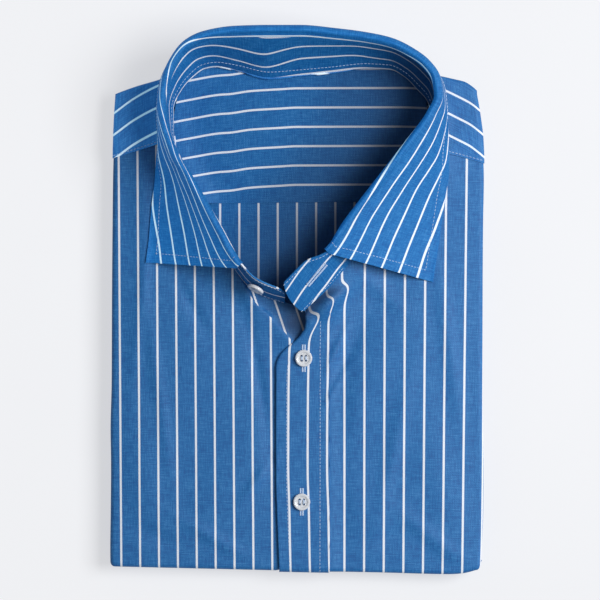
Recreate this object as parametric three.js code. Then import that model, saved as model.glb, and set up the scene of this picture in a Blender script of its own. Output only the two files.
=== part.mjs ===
import * as THREE from "three";

// Millimetres, +X to the right, +Y towards the collar, +Z up; the underside lies on z = 0.
const clothThick = 1.2;
const collarThick = 1.7;
const gap = 0.3;
const stackTop = 12.8;
const layerCount = 4;
const foldRadius = 3.2;
const laid = gap + clothThick; // from one panel's outer face to the next one's
const collarPress = 0.1; // the panels stay this much lower than the neck seam's gap
const rollRadius = 3.2;
const bandTop = 0.9; // share of the slope at which the band ends under the fall
const backZ = stackTop + laid;
const frontZ = backZ + laid;
const lapZ = frontZ + laid;
const yokeTop = lapZ + 0.15;
const buttonDiameter = 11;
const buttonThick = 2.4;

// y, left fold x, right fold x
const sideRows = [
  [134.2, -116.6, 115.4], [121.3, -117.5, 117.6], [104.7, -118.2, 119.6], [87.3, -118.6, 120.2],
  [54, -118.9, 119.7], [2, -119.3, 119.4], [-50.6, -119.5, 119.3], [-81.4, -120.2, 119.5],
  [-104.5, -119.9, 120], [-134, -120.1, 119.8], [-159.7, -120.4, 118.7], [-172, -120.2, 117.8],
];
// x, y of the bottom fold
const bottomRows = [
  [-121, -169.4], [-62.5, -170.8], [1.8, -172.3], [53.3, -173.3], [98, -174.4], [105, -174],
  [121, -170],
];
// x, y of the fold across the shoulders
const shoulderRows = [
  [-121, 132.2], [-116.6, 134.2], [-104, 138.9], [-88.2, 143.6], [-73.9, 148.6], [-62, 154],
  [-51, 153.6], [-36.5, 150.6], [-18, 146], [0.5, 147.6], [23.5, 150], [44, 152.6], [59, 152.6],
  [68.5, 150.6], [76.8, 148.2], [92.5, 145.6], [101.6, 143.6], [107.3, 142.2], [112.5, 139], [121, 131],
];
// x, y of the seams between yoke and fronts
const leftSeamRows = [[-122, 91.6], [-114, 94.1], [-92.8, 100.7], [-78.4, 105.9], [-74, 107]];
const rightSeamRows = [[78, 100], [83.9, 98.9], [99.2, 95], [122, 88.4]];
// y, x of the left front's inner edge: neckline, then the stand under the lap
const leftInnerRows = [
  [107, -78.6], [97.5, -77], [82.5, -71.5], [65.5, -64.5], [46, -54], [25.5, -41.5], [7.5, -26],
  [0, -6], [-4, 6], [-8, 15.5], [-18, 18.6], [-30, 18.8], [-180, 18.8],
];
// y, x of the right front's inner edge: neckline, the rolled lip, then the placket's edge
const rightInnerRows = [
  [108, 83.5], [91, 73.5], [67.5, 60], [43, 44.5], [22.5, 30], [9, 15], [1.5, 6.5], [-2.5, 3.6],
  [-5.7, 5], [-11.4, 7.2], [-15.7, 6.6], [-20, 4.2], [-24.9, -0.1], [-29.8, -6.3], [-34.1, -9.9],
  [-38.3, -11.8], [-45.1, -12.6], [-62, -12.9], [-113.3, -12.9], [-133.1, -12.3], [-172, -10.7],
];
// collar stations, left end round the back to the right end:
// name, seam x y z, roll x y z, leaf edge x y z (none on the band's free ends), steepness by the roll
const collarRows = [
  ["left_end", -6, 0, 16, -4, 6.5, 35],
  ["left_button", -26, 7.5, 17, -22, 14.5, 42],
  ["left_front", -41.5, 25.5, 21, -36, 24, 49, -97, 26, 18.6, 0.9],
  ["left_2", -54, 46, 22, -48, 44.5, 51, -95, 41.5, 18.6, 0.9],
  ["left_3", -64.5, 65.5, 22, -59.5, 64.5, 51.5, -93.5, 61, 18.8, 0.8],
  ["left_4", -71.5, 82.5, 21.5, -69, 81, 51.5, -91.5, 77.5, 19, 0.7],
  ["left_5", -77, 97.5, 21, -77.5, 95, 51.5, -90.5, 91.5, 20, 0.6],
  ["left_6", -79, 111.5, 20, -83, 110, 51.5, -89.5, 105, 20.5, 0.5],
  ["left_7", -79, 125, 19, -85, 125, 51.5, -90, 121.5, 20.5, 0.5],
  ["left_8", -74, 136.5, 18, -82.5, 140, 51.5, -88.5, 139, 19, 0.5],
  ["left_9", -66, 145.5, 17.5, -77, 153, 51, -82.5, 154, 13, 0.5],
  ["left_10", -59, 150, 17, -69, 163, 51, -72, 162, 6, 0.5],
  ["back_1", -51, 151, 16.7, -57.5, 168.5, 51, -59, 167, 5, 0.5],
  ["back_2", -36.5, 148, 16.4, -38.5, 171.5, 51, -39.5, 170, 4.4, 0.5],
  ["back_3", -18, 143.6, 16.2, -18.5, 172, 51, -19, 170.5, 4.4, 0.5],
  ["back_4", 0.5, 145, 16.2, 2, 172, 51, 2, 170.5, 4.4, 0.5],
  ["back_5", 23.5, 147.5, 16.5, 24, 170, 51, 24, 168.5, 4.4, 0.5],
  ["back_6", 44, 150, 17, 43, 167.5, 51, 44.5, 166, 4.6, 0.5],
  ["right_9", 59, 149.5, 17.6, 58.5, 164, 51.7, 60.5, 163, 6, 0.5],
  ["right_8", 68.5, 145, 18, 71, 158, 52, 75, 158, 12, 0.5],
  ["right_7", 76.5, 137, 18.6, 81, 150.5, 52, 88, 150, 18, 0.5],
  ["right_6", 83, 129.5, 19.5, 87, 141.5, 51.7, 95, 136, 20.5, 0.5],
  ["right_5", 86.5, 119, 20.5, 88.5, 130.5, 51.2, 96.5, 121, 20.5, 0.5],
  ["right_4", 83.5, 108, 21.5, 83.5, 119, 50.7, 97, 107, 20, 0.4],
  ["right_3", 73.5, 91, 23.5, 69.5, 100, 49.7, 97.5, 86.5, 19.4, 0.3],
  ["right_2", 60, 67.5, 25.5, 52, 77.5, 48.3, 94.5, 65, 19, 0.2],
  ["right_1", 44.5, 43, 26, 34.5, 55, 46.7, 91, 39, 18.8, 0.1],
  ["right_front", 30, 22.5, 26, 18, 33.5, 45, 87, 13.5, 18.6, 0],
  ["right_buttonhole", 15, 9, 25.5, 5.5, 25, 43.5],
  ["right_end", 2.5, -2.5, 24.5, -6, 13.5, 41],
];
const firstFall = 2;
const lastFall = 27;
// x, y of each front button's middle, and the collar button's station
const frontButtons = [[4.2, -35.3], [2.9, -127.3]];
const collarButtonAt = 0.93;

const clamp = (v, lo, hi) => Math.min(hi, Math.max(lo, v));
const mix = (a, b, t) => a + (b - a) * t;
const smooth = (a, b, v) => {
  const t = clamp((v - a) / (b - a), 0, 1);
  return t * t * (3 - 2 * t);
};

// A smooth curve through rows of [at, value] that never overshoots its rows.
function through(rows, column = 1) {
  const sorted = [...rows].sort((a, b) => a[0] - b[0]);
  const xs = sorted.map((r) => r[0]);
  const ys = sorted.map((r) => r[column]);
  const n = xs.length;
  const step = xs.slice(1).map((x, i) => (ys[i + 1] - ys[i]) / (x - xs[i]));
  const slope = ys.map((_, i) => {
    if (i === 0) return step[0];
    if (i === n - 1) return step[n - 2];
    const a = step[i - 1];
    const b = step[i];
    return a * b <= 0 ? 0 : (2 * a * b) / (a + b);
  });
  return (x) => {
    if (x <= xs[0]) return ys[0];
    if (x >= xs[n - 1]) return ys[n - 1];
    let i = 0;
    while (x > xs[i + 1]) i += 1;
    const h = xs[i + 1] - xs[i];
    const t = (x - xs[i]) / h;
    const t2 = t * t;
    const t3 = t2 * t;
    return (2 * t3 - 3 * t2 + 1) * ys[i] + (t3 - 2 * t2 + t) * h * slope[i]
      + (3 * t2 - 2 * t3) * ys[i + 1] + (t3 - t2) * h * slope[i + 1];
  };
}

const foldLeft = through(sideRows, 1);
const foldRight = through(sideRows, 2);
const foldBottom = through(bottomRows);
const foldShoulder = through(shoulderRows);
const seamLeft = through(leftSeamRows);
const seamRight = through(rightSeamRows);
const innerLeft = through(leftInnerRows);
const innerRight = through(rightInnerRows);

// The neck seam as a run of points, for how far a place on the cloth is from it.
const seamLine = collarRows.map((r) => [r[1], r[2], r[3]]);
function neckSeam(x, y, from, to) {
  let best = [1e9, 0];
  for (let i = from; i < to; i += 1) {
    const [ax, ay, az] = seamLine[i];
    const [bx, by, bz] = seamLine[i + 1];
    const dx = bx - ax;
    const dy = by - ay;
    const t = clamp(((x - ax) * dx + (y - ay) * dy) / (dx * dx + dy * dy), 0, 1);
    const d = Math.hypot(x - ax - dx * t, y - ay - dy * t);
    if (d < best[0]) best = [d, mix(az, bz, t)];
  }
  return best;
}
function raised(x, y, base, from, to, reach) {
  const [d, z] = neckSeam(x, y, from, to);
  const lift = Math.exp(-((d / reach) ** 2));
  return Math.max(base, mix(base, z - gap - collarPress, lift));
}

// Soft rises by hand in the top panels: x, y, reach along x, reach along y, height, turn in degrees
const softRows = [
  [-70, -20, 34, 60, 0.7, 20], [-40, -110, 22, 50, 0.6, -35], [-95, -120, 16, 50, 0.5, 10],
  [70, -30, 30, 60, 0.7, -15], [92, -115, 18, 46, 0.6, 15], [48, -140, 22, 30, 0.5, 40],
  [40, -60, 14, 40, 0.4, -30],
];
function softRise(x, y) {
  let z = 0;
  for (const [cx, cy, rx, ry, h, turn] of softRows) {
    const a = (turn * Math.PI) / 180;
    const u = ((x - cx) * Math.cos(a) + (y - cy) * Math.sin(a)) / rx;
    const v = (-(x - cx) * Math.sin(a) + (y - cy) * Math.cos(a)) / ry;
    z += h * Math.exp(-(u * u + v * v));
  }
  return z;
}
const edgeFade = (x, y) => smooth(0, 14, Math.min(x - foldLeft(y), foldRight(y) - x, y - foldBottom(x)));
const leftHeight = (x, y) => raised(x, y, frontZ, 0, 8, 13)
  + softRise(x, y) * edgeFade(x, y) * smooth(-14, -26, x);
function rightHeight(x, y) {
  const lap = mix(lapZ, frontZ, smooth(20, 32, x)) + 0.2;
  // the cloth stands up round the rolled lip and swells below the buttonhole end
  const tab = 3.4 * Math.exp(-(((x - 17) / 13) ** 2) - (((y - 1) / 11) ** 2));
  const valley = -2.4 * Math.exp(-(((x - 7) / 7) ** 2) - (((y + 10) / 6) ** 2));
  const away = smooth(2, 10, neckSeam(x, y, 23, 29)[0]);
  return raised(x, y, lap, 23, 29, 17) + Math.max(0, tab + valley) * away
    + softRise(x, y) * edgeFade(x, y) * smooth(24, 40, x);
}

// One closed wall on a grid of outer points, laid inwards by its thickness.
function wall(name, grid, thick, flip = false, level = false) {
  const rows = grid.length;
  const cols = grid[0].length;
  const at = (i, j) => grid[clamp(i, 0, rows - 1)][clamp(j, 0, cols - 1)];
  const outer = [];
  const inner = [];
  for (let i = 0; i < rows; i += 1) {
    for (let j = 0; j < cols; j += 1) {
      const along = at(i + 1, j).clone().sub(at(i - 1, j));
      const across = at(i, j + 1).clone().sub(at(i, j - 1));
      const normal = across.cross(along).normalize();
      if (flip) normal.negate();
      outer.push(grid[i][j]);
      const under = grid[i][j].clone().addScaledVector(normal, -thick);
      if (level && i === 0) under.z = Math.max(under.z, grid[i][j].z);
      inner.push(under);
    }
  }
  const points = [...outer, ...inner];
  const faces = [];
  const half = rows * cols;
  const quad = (a, b, c, d) => faces.push([a, b, c], [a, c, d]);
  for (let i = 0; i < rows - 1; i += 1) {
    for (let j = 0; j < cols - 1; j += 1) {
      const a = i * cols + j;
      quad(a, a + 1, a + cols + 1, a + cols);
      quad(half + a, half + a + cols, half + a + cols + 1, half + a + 1);
    }
  }
  for (let j = 0; j < cols - 1; j += 1) {
    quad(j, half + j, half + j + 1, j + 1);
    const e = (rows - 1) * cols + j;
    quad(e + 1, half + e + 1, half + e, e);
  }
  for (let i = 0; i < rows - 1; i += 1) {
    const a = i * cols;
    quad(a + cols, half + a + cols, half + a, a);
    const e = a + cols - 1;
    quad(e, half + e, half + e + cols, e + cols);
  }
  return solid(name, points, faces);
}

function solid(name, points, faces) {
  let volume = 0;
  for (const [a, b, c] of faces) {
    volume += points[a].dot(points[b].clone().cross(points[c]));
  }
  const turned = volume < 0 ? faces.map(([a, b, c]) => [a, c, b]) : faces;
  const geometry = new THREE.BufferGeometry();
  const places = points.flatMap((p) => [p.x, p.y, p.z]);
  geometry.setAttribute("position", new THREE.Float32BufferAttribute(places, 3));
  geometry.setIndex(turned.flat());
  geometry.computeVertexNormals();
  const material = name.includes("button")
    ? new THREE.MeshStandardMaterial({ color: 0xccd6e0, roughness: 0.2 })
    : new THREE.MeshStandardMaterial({ color: 0x3a74b4, roughness: 0.9 });
  const mesh = new THREE.Mesh(geometry, material);
  mesh.name = name;
  return mesh;
}

const spaced = (n) => Array.from({ length: n + 1 }, (_, i) => i / n);

// Where a place on a panel lies once the panel turns down round its side or bottom fold.
// sideSign: -1 left, 1 right. pastSide, pastBottom: how far it has turned round each fold, in radians
function turned(x, y, z, sideSign, pastSide, pastBottom, radius = foldRadius) {
  const angle = Math.max(pastSide, pastBottom);
  if (angle <= 0) return new THREE.Vector3(x, y, z);
  const size = Math.hypot(pastSide, pastBottom);
  const ux = (sideSign * pastSide) / size;
  const uy = -pastBottom / size;
  const out = radius * Math.sin(angle);
  return new THREE.Vector3(x + ux * out, y + uy * out, z - radius * (1 - Math.cos(angle)));
}
const wrapSteps = [0.35, 0.7, 1, 1.2];
const underSeam = 1.5; // the fronts reach this far past the yoke's seam
const insideLap = 1.7; // the under front's bottom fold is this much tighter where the fronts lap

// A front: rows down the panel, columns from its inner edge to its side fold.
function frontGrid(side, inner, seam, height, ys, shares) {
  const fold = side < 0 ? foldLeft : foldRight;
  const rows = [];
  const rowY = [...ys.map((y) => [y, 0]), ...wrapSteps.map((s) => [null, s])];
  rowY.forEach(([y0, pastBottom], i) => {
    const row = [];
    const nominal = y0 === null ? -200 : y0;
    const from = inner(Math.max(nominal, -170));
    const to = fold(Math.max(nominal, -172)) - side * foldRadius;
    const place = (x, pastSide) => {
      const top = seam(x) - underSeam;
      const low = foldBottom(x) + foldRadius;
      // rows start along the seam, end along the bottom fold and are level between
      const share = y0 === null ? 1 : i / (ys.length - 1);
      let y = y0 === null ? low : y0;
      if (y0 !== null) {
        y += (top - ys[0]) * (1 - smooth(0, 0.35, share));
        y += (low - ys[ys.length - 1]) * smooth(0.7, 1, share);
      }
      // the under front turns inside the upper one where they lap
      const radius = side < 0 ? foldRadius - insideLap * smooth(-22, -15, x) : foldRadius;
      return turned(x, y, height(x, y), side, pastSide, pastBottom, radius);
    };
    for (const s of shares) row.push(place(mix(from, to, s), 0));
    for (const s of wrapSteps) row.push(place(to, s));
    rows.push(row);
  });
  return rows;
}

// how far down each row of a front lies, and how far across each column
const leftYs = [
  104, 99, 92, 84, 75, 66, 56, 46, 36, 26, 17, 10, 5, 1, -3, -7, -13, -20, -30, -50, -75, -100, -125, -150, -167.5,
];
const rightYs = [
  99, 92, 84, 76, 68, 58, 50, 42, 34, 26, 19, 13, 8, 3, -1, -4, -8, -12, -16, -20, -25, -30, -35, -40, -46, -58,
  -75, -100, -125, -150, -170,
];
const leftShares = [0, 0.04, 0.1, 0.18, 0.27, 0.37, 0.48, 0.6, 0.72, 0.84, 0.93, 1];
const rightShares = [0, 0.02, 0.06, 0.11, 0.17, 0.23, 0.29, 0.36, 0.44, 0.54, 0.65, 0.77, 0.89, 1];
const frontLeft = wall("front_left",
  frontGrid(-1, innerLeft, seamLeft, leftHeight, leftYs, leftShares), clothThick);
const frontRight = wall("front_right",
  frontGrid(1, innerRight, seamRight, rightHeight, rightYs, rightShares), clothThick, true);

// A point laid out from a panel's outer face by a lift along its normal.
function onTop(height, x, y, lift) {
  const e = 0.4;
  const dx = (height(x + e, y) - height(x - e, y)) / (2 * e);
  const dy = (height(x, y + e) - height(x, y - e)) / (2 * e);
  const normal = new THREE.Vector3(-dx, -dy, 1).normalize();
  return new THREE.Vector3(x, y, height(x, y)).addScaledVector(normal, lift);
}

// The placket strip is laid on the right front, moved out from it.
const placketLift = laid + 0.12;
function placketGrid() {
  const ys = [0, -2, -4.5, -8, -12, -16, -20, -25, -30, -35, -40, -46, -58, -80, -110, -140, -160, -169.2];
  const rightEdge = through([[2, 14], [-2, 18.5], [-8, 21], [-171, 20.8], [-180, 20.7]]);
  const shares = [0, 0.08, 0.25, 0.45, 0.65, 0.85, 1];
  const rows = [];
  for (const y of ys) {
    const from = innerRight(y) - 0.2 + 3.6 * smooth(-9, -3, y);
    const to = rightEdge(y);
    rows.push(shares.map((s) => {
      const x = mix(from, to, s);
      return onTop(rightHeight, Math.max(x, innerRight(y) + gap), y, placketLift + 0.45 * smooth(-12, -2, y));
    }));
  }
  const last = rows[rows.length - 1];
  const round = foldRadius + laid + 0.05;
  for (const s of wrapSteps) {
    rows.push(last.map((p) => turned(p.x, foldBottom(p.x) + foldRadius, p.z, 1, 0, s, round)));
  }
  return rows;
}
const placket = wall("placket", placketGrid(), clothThick, true);

// The back panel's inside, under the fronts from the yoke down.
function backGrid() {
  const ys = [69.5, 60, 30, -20, -80, -130, -162];
  const shares = spaced(8);
  return ys.map((y) => shares.map((s) => {
    const x = mix(foldLeft(y) + 5, foldRight(y) - 5, s);
    return new THREE.Vector3(x, Math.max(y, foldBottom(x) + 6), backZ);
  }));
}
const back = wall("back", backGrid(), clothThick, true);

// Yoke: the inside face in the neck opening, and the outer one turned over the shoulders.
const neckRows = collarRows.slice(6, 24).map((r) => [r[1], r[2], r[3]]);
const topNeck = neckRows.filter((r, i) => i >= 2 && i <= 15);
const neckY = through([...topNeck, [-80, 118, 19], [89, 112, 20]], 1);
const neckZ = through([...topNeck, [-80, 118, 19], [89, 112, 20]], 2);
function yokeInsideGrid() {
  const xs = [-77.6, -75, -71, -66, -59, -51, -43, -33, -25, -18, -8, 4, 16, 30, 44, 54, 61, 68, 73, 77, 80, 83, 85];
  const shares = [0, 0.04, 0.1, 0.18, 0.3, 0.5, 0.75, 0.9, 1];
  return shares.map((s) => xs.map((x) => {
    const under = Math.max(2.5 * smooth(-76.5, -77.6, x), 6 * smooth(82, 83.2, x));
    const y = mix(neckY(x) - 0.9 - under, 64.6 + x * 0.012, s);
    const rise = (neckZ(x) - gap - frontZ - 0.1) * Math.exp(-(((neckY(x) - y) / 9) ** 2));
    return new THREE.Vector3(x, y, frontZ + Math.max(0, rise));
  }));
}
const yokeInside = wall("yoke_inside", yokeInsideGrid(), clothThick, true);

// columns of the outer yoke: shoulders outside the collar, the back under it
const yokeXs = [
  -117.8, -116.6, -114, -108, -100, -93, -87, -82, -79.9, -79.4, -77.5, -74, -69, -64, -58, -51, -43, -33, -25,
  -18, -8, 4, 16, 30, 44, 53, 60, 66, 70, 75, 79, 82.5, 85.4, 87, 87.6, 93, 99, 105, 110, 114, 116.6, 117.8,
];
const shoulderX = 90; // past this the columns spread to the side folds
const yokeEndX = 117.8;
// A column's x at a height up the yoke, so that its ends follow the side folds.
function alongSide(x, y) {
  if (Math.abs(x) < shoulderX) return x;
  const fold = x < 0 ? -foldLeft(y) : foldRight(y);
  const share = (Math.abs(x) - shoulderX) / (yokeEndX - shoulderX);
  return Math.sign(x) * mix(shoulderX, fold, share);
}
function yokeOuterGrid() {
  const rows = [];
  const topShares = [0, 0.2, 0.45, 0.7, 0.88, 1];
  const turn = [0.3, 0.75, 1.2, 1.7, 2.2, 2.7, Math.PI];
  const low = stackTop + gap;
  const sideDrop = 1.7;
  const seamLift = laid + 0.1;
  const sections = yokeXs.map((x) => {
    const drop = sideDrop * smooth(115.6, 118.2, Math.abs(x + 0.4));
    const left = x < -79.6;
    const right = x > 87.3;
    const foldY = foldShoulder(alongSide(x, foldShoulder(x)));
    let start = neckY(x) + 0.4;
    let startZ = neckZ(x) - gap - 0.25;
    if (left) start = seamLeft(x);
    if (right) start = seamRight(x);
    if (left || right) startZ = (left ? leftHeight(x, start) : rightHeight(x, start)) + seamLift;
    const edgeZ = Math.min(yokeTop, startZ);
    const radius = (edgeZ - drop - low) / 2;
    const endY = foldY - radius;
    const points = topShares.map((s) => {
      const y = mix(start, endY, s);
      const near = left || right ? raised(x, y, yokeTop, 4, 24, 9) - 0.15 : startZ;
      const z = mix(Math.max(near, edgeZ), edgeZ, smooth(0.55, 1, s)) - drop;
      return new THREE.Vector3(alongSide(x, y), y, z);
    });
    const endX = alongSide(x, endY);
    for (const a of turn) {
      points.push(new THREE.Vector3(endX, endY + radius * Math.sin(a), low + radius + radius * Math.cos(a)));
    }
    for (const s of [0.3, 0.65, 1]) {
      points.push(new THREE.Vector3(endX * mix(1, 0.955, smooth(0, 0.5, s)), mix(endY, 75, s), low));
    }
    return points;
  });
  sections[0].forEach((_, i) => rows.push(sections.map((c) => c[i])));
  return rows;
}
const yokeOuter = wall("yoke_outer", yokeOuterGrid(), clothThick);

// The collar: a smooth run of stations, each with its seam, its roll and its leaf edge.
function station(u) {
  const value = (column) => {
    const rows = collarRows.map((r, i) => [i, r[column]]).filter((r) => r[1] !== undefined);
    return through(rows)(u);
  };
  return {
    seam: new THREE.Vector3(value(1), value(2), value(3)),
    roll: new THREE.Vector3(value(4), value(5), value(6)),
    edge: new THREE.Vector3(value(7), value(8), value(9)),
    steep: value(10),
  };
}
function outward(u) {
  const a = station(Math.max(0, u - 0.2)).roll;
  const b = station(Math.min(collarRows.length - 1, u + 0.2)).roll;
  return new THREE.Vector3(-(b.y - a.y), b.x - a.x, 0).normalize();
}
// Band profile from the seam up: share of the slope, bulge outwards at that share
function bandPoint(s, out, share, bulge, tucked = 1) {
  const top = s.roll.clone().addScaledVector(out, -0.75 * rollRadius * tucked);
  top.z -= 0.8 * rollRadius * tucked;
  return s.seam.clone().lerp(top, share).addScaledVector(out, bulge * 4 * share * (1 - share));
}
const bandBulge = (u) => mix(0.5, -1, smooth(22, 25.5, u));
const bandShares = [0, 0.18, 0.4, 0.62, 0.84, 1];
function bandGrid() {
  const last = collarRows.length - 1;
  const us = [];
  for (let u = 0; u <= last + 1e-6; u += 0.5) us.push(u);
  const rows = bandShares.map(() => []);
  for (const u of us) {
    const s = station(u);
    s.seam.z += gap;
    const out = outward(u);
    // the free ends are as high as the band, rounded down to their front edges
    const inFall = smooth(1.2, 2, u) * (1 - smooth(27, 27.8, u));
    const corner = 1 - 0.3 * (1 - smooth(0, 0.5, u)) - 0.3 * smooth(28.5, 29, u);
    const top = mix(corner * 0.97, bandTop, inFall);
    bandShares.forEach((b, i) => rows[i].push(bandPoint(s, out, b * top, bandBulge(u), inFall)));
  }
  return rows;
}
const collarBand = wall("collar_band", bandGrid(), collarThick, false, true);

function fallSection(u) {
  const s = station(u);
  const out = outward(u);
  const start = bandPoint(s, out, bandTop + 0.015, bandBulge(u));
  const roll = s.roll.clone();
  const inside = roll.clone().addScaledVector(out, -rollRadius * 0.75);
  inside.z -= rollRadius * 0.8;
  const crest = roll.clone();
  const outside = roll.clone().addScaledVector(out, rollRadius * 0.95);
  outside.z -= rollRadius * 0.95;
  const edge = s.edge;
  const run = edge.clone().sub(outside);
  const fall = -run.z;
  // a steep leaf drops first and then runs out flat, a slack one slopes evenly
  const first = outside.clone().addScaledVector(run, mix(0.33, 0.08, s.steep));
  first.z = outside.z - fall * mix(0.06, 0.62, s.steep);
  const second = edge.clone().addScaledVector(run, -mix(0.33, 0.5, s.steep));
  second.z = edge.z + fall * mix(0.33, 0.04, s.steep);
  // where it has no room to run out it hangs
  const hanging = 1 - smooth(7, 24, Math.hypot(run.x, run.y));
  const hungFirst = outside.clone().addScaledVector(out, 0.8);
  hungFirst.z = outside.z - fall * 0.35;
  const hungSecond = edge.clone();
  hungSecond.z = edge.z + fall * 0.3;
  first.lerp(hungFirst, hanging);
  second.lerp(hungSecond, hanging);
  const curve = new THREE.CubicBezierCurve3(outside, first, second, edge);
  const points = [start, start.clone().lerp(inside, 0.55), inside, inside.clone().lerp(crest, 0.5)];
  points[3].z += rollRadius * 0.22;
  points[1].addScaledVector(out, -0.1);
  points.push(crest);
  points.push(crest.clone().lerp(outside, 0.5));
  points[5].z += rollRadius * 0.22;
  points.push(outside);
  for (const t of [0.1, 0.2, 0.32, 0.44, 0.56, 0.68, 0.8, 0.9, 1]) points.push(curve.getPoint(t));
  return points;
}
function fallGrid() {
  const sections = [];
  for (let u = firstFall; u <= lastFall + 1e-6; u += 0.5) sections.push(fallSection(u));
  return sections[0].map((_, i) => sections.map((c) => c[i]));
}
const collarFall = wall("collar_fall", fallGrid(), collarThick);

// A four-hole shirt button: a dished disc with a rim, its holes right through it.
function buttonSolid(name, centre, normal, diameter, thick) {
  const outerSteps = 28;
  const r = diameter / 2;
  const profile = [[r * 0.93, 0], [r, thick * 0.3], [r, thick * 0.7], [r * 0.93, thick], [r * 0.8, thick],
    [r * 0.68, thick * 0.72]];
  const axis = new THREE.Vector3(0, 0, 1);
  const spin = new THREE.Quaternion().setFromUnitVectors(axis, normal);
  const place = (x, y, z) => new THREE.Vector3(x, y, z).applyQuaternion(spin).add(centre);
  const points = [];
  const faces = [];
  profile.forEach(([radius, z]) => {
    for (let k = 0; k < outerSteps; k += 1) {
      const a = (2 * Math.PI * k) / outerSteps;
      points.push(place(radius * Math.cos(a), radius * Math.sin(a), z));
    }
  });
  for (let i = 0; i < profile.length - 1; i += 1) {
    for (let k = 0; k < outerSteps; k += 1) {
      const n = (k + 1) % outerSteps;
      const a = i * outerSteps;
      faces.push([a + k, a + n, a + outerSteps + n], [a + k, a + outerSteps + n, a + outerSteps + k]);
    }
  }
  const holeSteps = 10;
  const holeR = diameter * 0.075;
  const holeAt = diameter * 0.115;
  const holes = [[1, 1], [-1, 1], [-1, -1], [1, -1]].map(([sx, sy]) => (
    Array.from({ length: holeSteps }, (_, k) => {
      const a = (-2 * Math.PI * k) / holeSteps;
      return new THREE.Vector2(sx * holeAt + holeR * Math.cos(a), sy * holeAt + holeR * Math.sin(a));
    })));
  // one pierced face each side, and a tube through each hole
  const cap = (ring, z, start, up) => {
    const outline = ring.map((i) => {
      const a = (2 * Math.PI * i) / outerSteps;
      return new THREE.Vector2(start.radius * Math.cos(a), start.radius * Math.sin(a));
    });
    const holeStart = points.length;
    holes.forEach((hole) => hole.forEach((p) => points.push(place(p.x, p.y, z))));
    const index = (i) => (i < outerSteps ? start.first + i : holeStart + i - outerSteps);
    THREE.ShapeUtils.triangulateShape(outline, holes).forEach(([a, b, c]) => {
      faces.push(up ? [index(a), index(b), index(c)] : [index(a), index(c), index(b)]);
    });
    return holeStart;
  };
  const ring = Array.from({ length: outerSteps }, (_, i) => i);
  const lowHoles = cap(ring, profile[0][1], { radius: profile[0][0], first: 0 }, false);
  const topRow = profile.length - 1;
  const topHoles = cap(ring, profile[topRow][1], { radius: profile[topRow][0], first: topRow * outerSteps }, true);
  for (let h = 0; h < 4; h += 1) {
    for (let k = 0; k < holeSteps; k += 1) {
      const a = h * holeSteps + k;
      const b = h * holeSteps + ((k + 1) % holeSteps);
      faces.push([lowHoles + a, lowHoles + b, topHoles + b], [lowHoles + a, topHoles + b, topHoles + a]);
    }
  }
  return solid(name, points, faces);
}
const up = new THREE.Vector3(0, 0, 1);
const buttons = frontButtons.map(([x, y], i) => {
  const r = buttonDiameter / 2;
  const under = [[0, 0], [r, 0], [-r, 0], [0, r], [0, -r]].map(([dx, dy]) => rightHeight(x + dx, y + dy));
  const z = Math.max(...under) + placketLift + gap;
  return buttonSolid(`button_${i + 1}`, new THREE.Vector3(x, y, z), up, buttonDiameter, buttonThick);
});
const bandAt = station(collarButtonAt);
const bandOut = outward(collarButtonAt);
const slope = bandAt.roll.clone().sub(bandAt.seam);
const along = new THREE.Vector3(-bandOut.y, bandOut.x, 0);
const bandNormal = along.clone().cross(slope).normalize();
if (bandNormal.dot(bandOut) < 0) bandNormal.negate();
const buttonSpot = bandPoint(bandAt, bandOut, 0.6, bandBulge(0), 0)
  .addScaledVector(bandNormal, collarThick + gap + 0.2);
const collarButton = buttonSolid("collar_button", buttonSpot, bandNormal, buttonDiameter, buttonThick);

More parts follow.
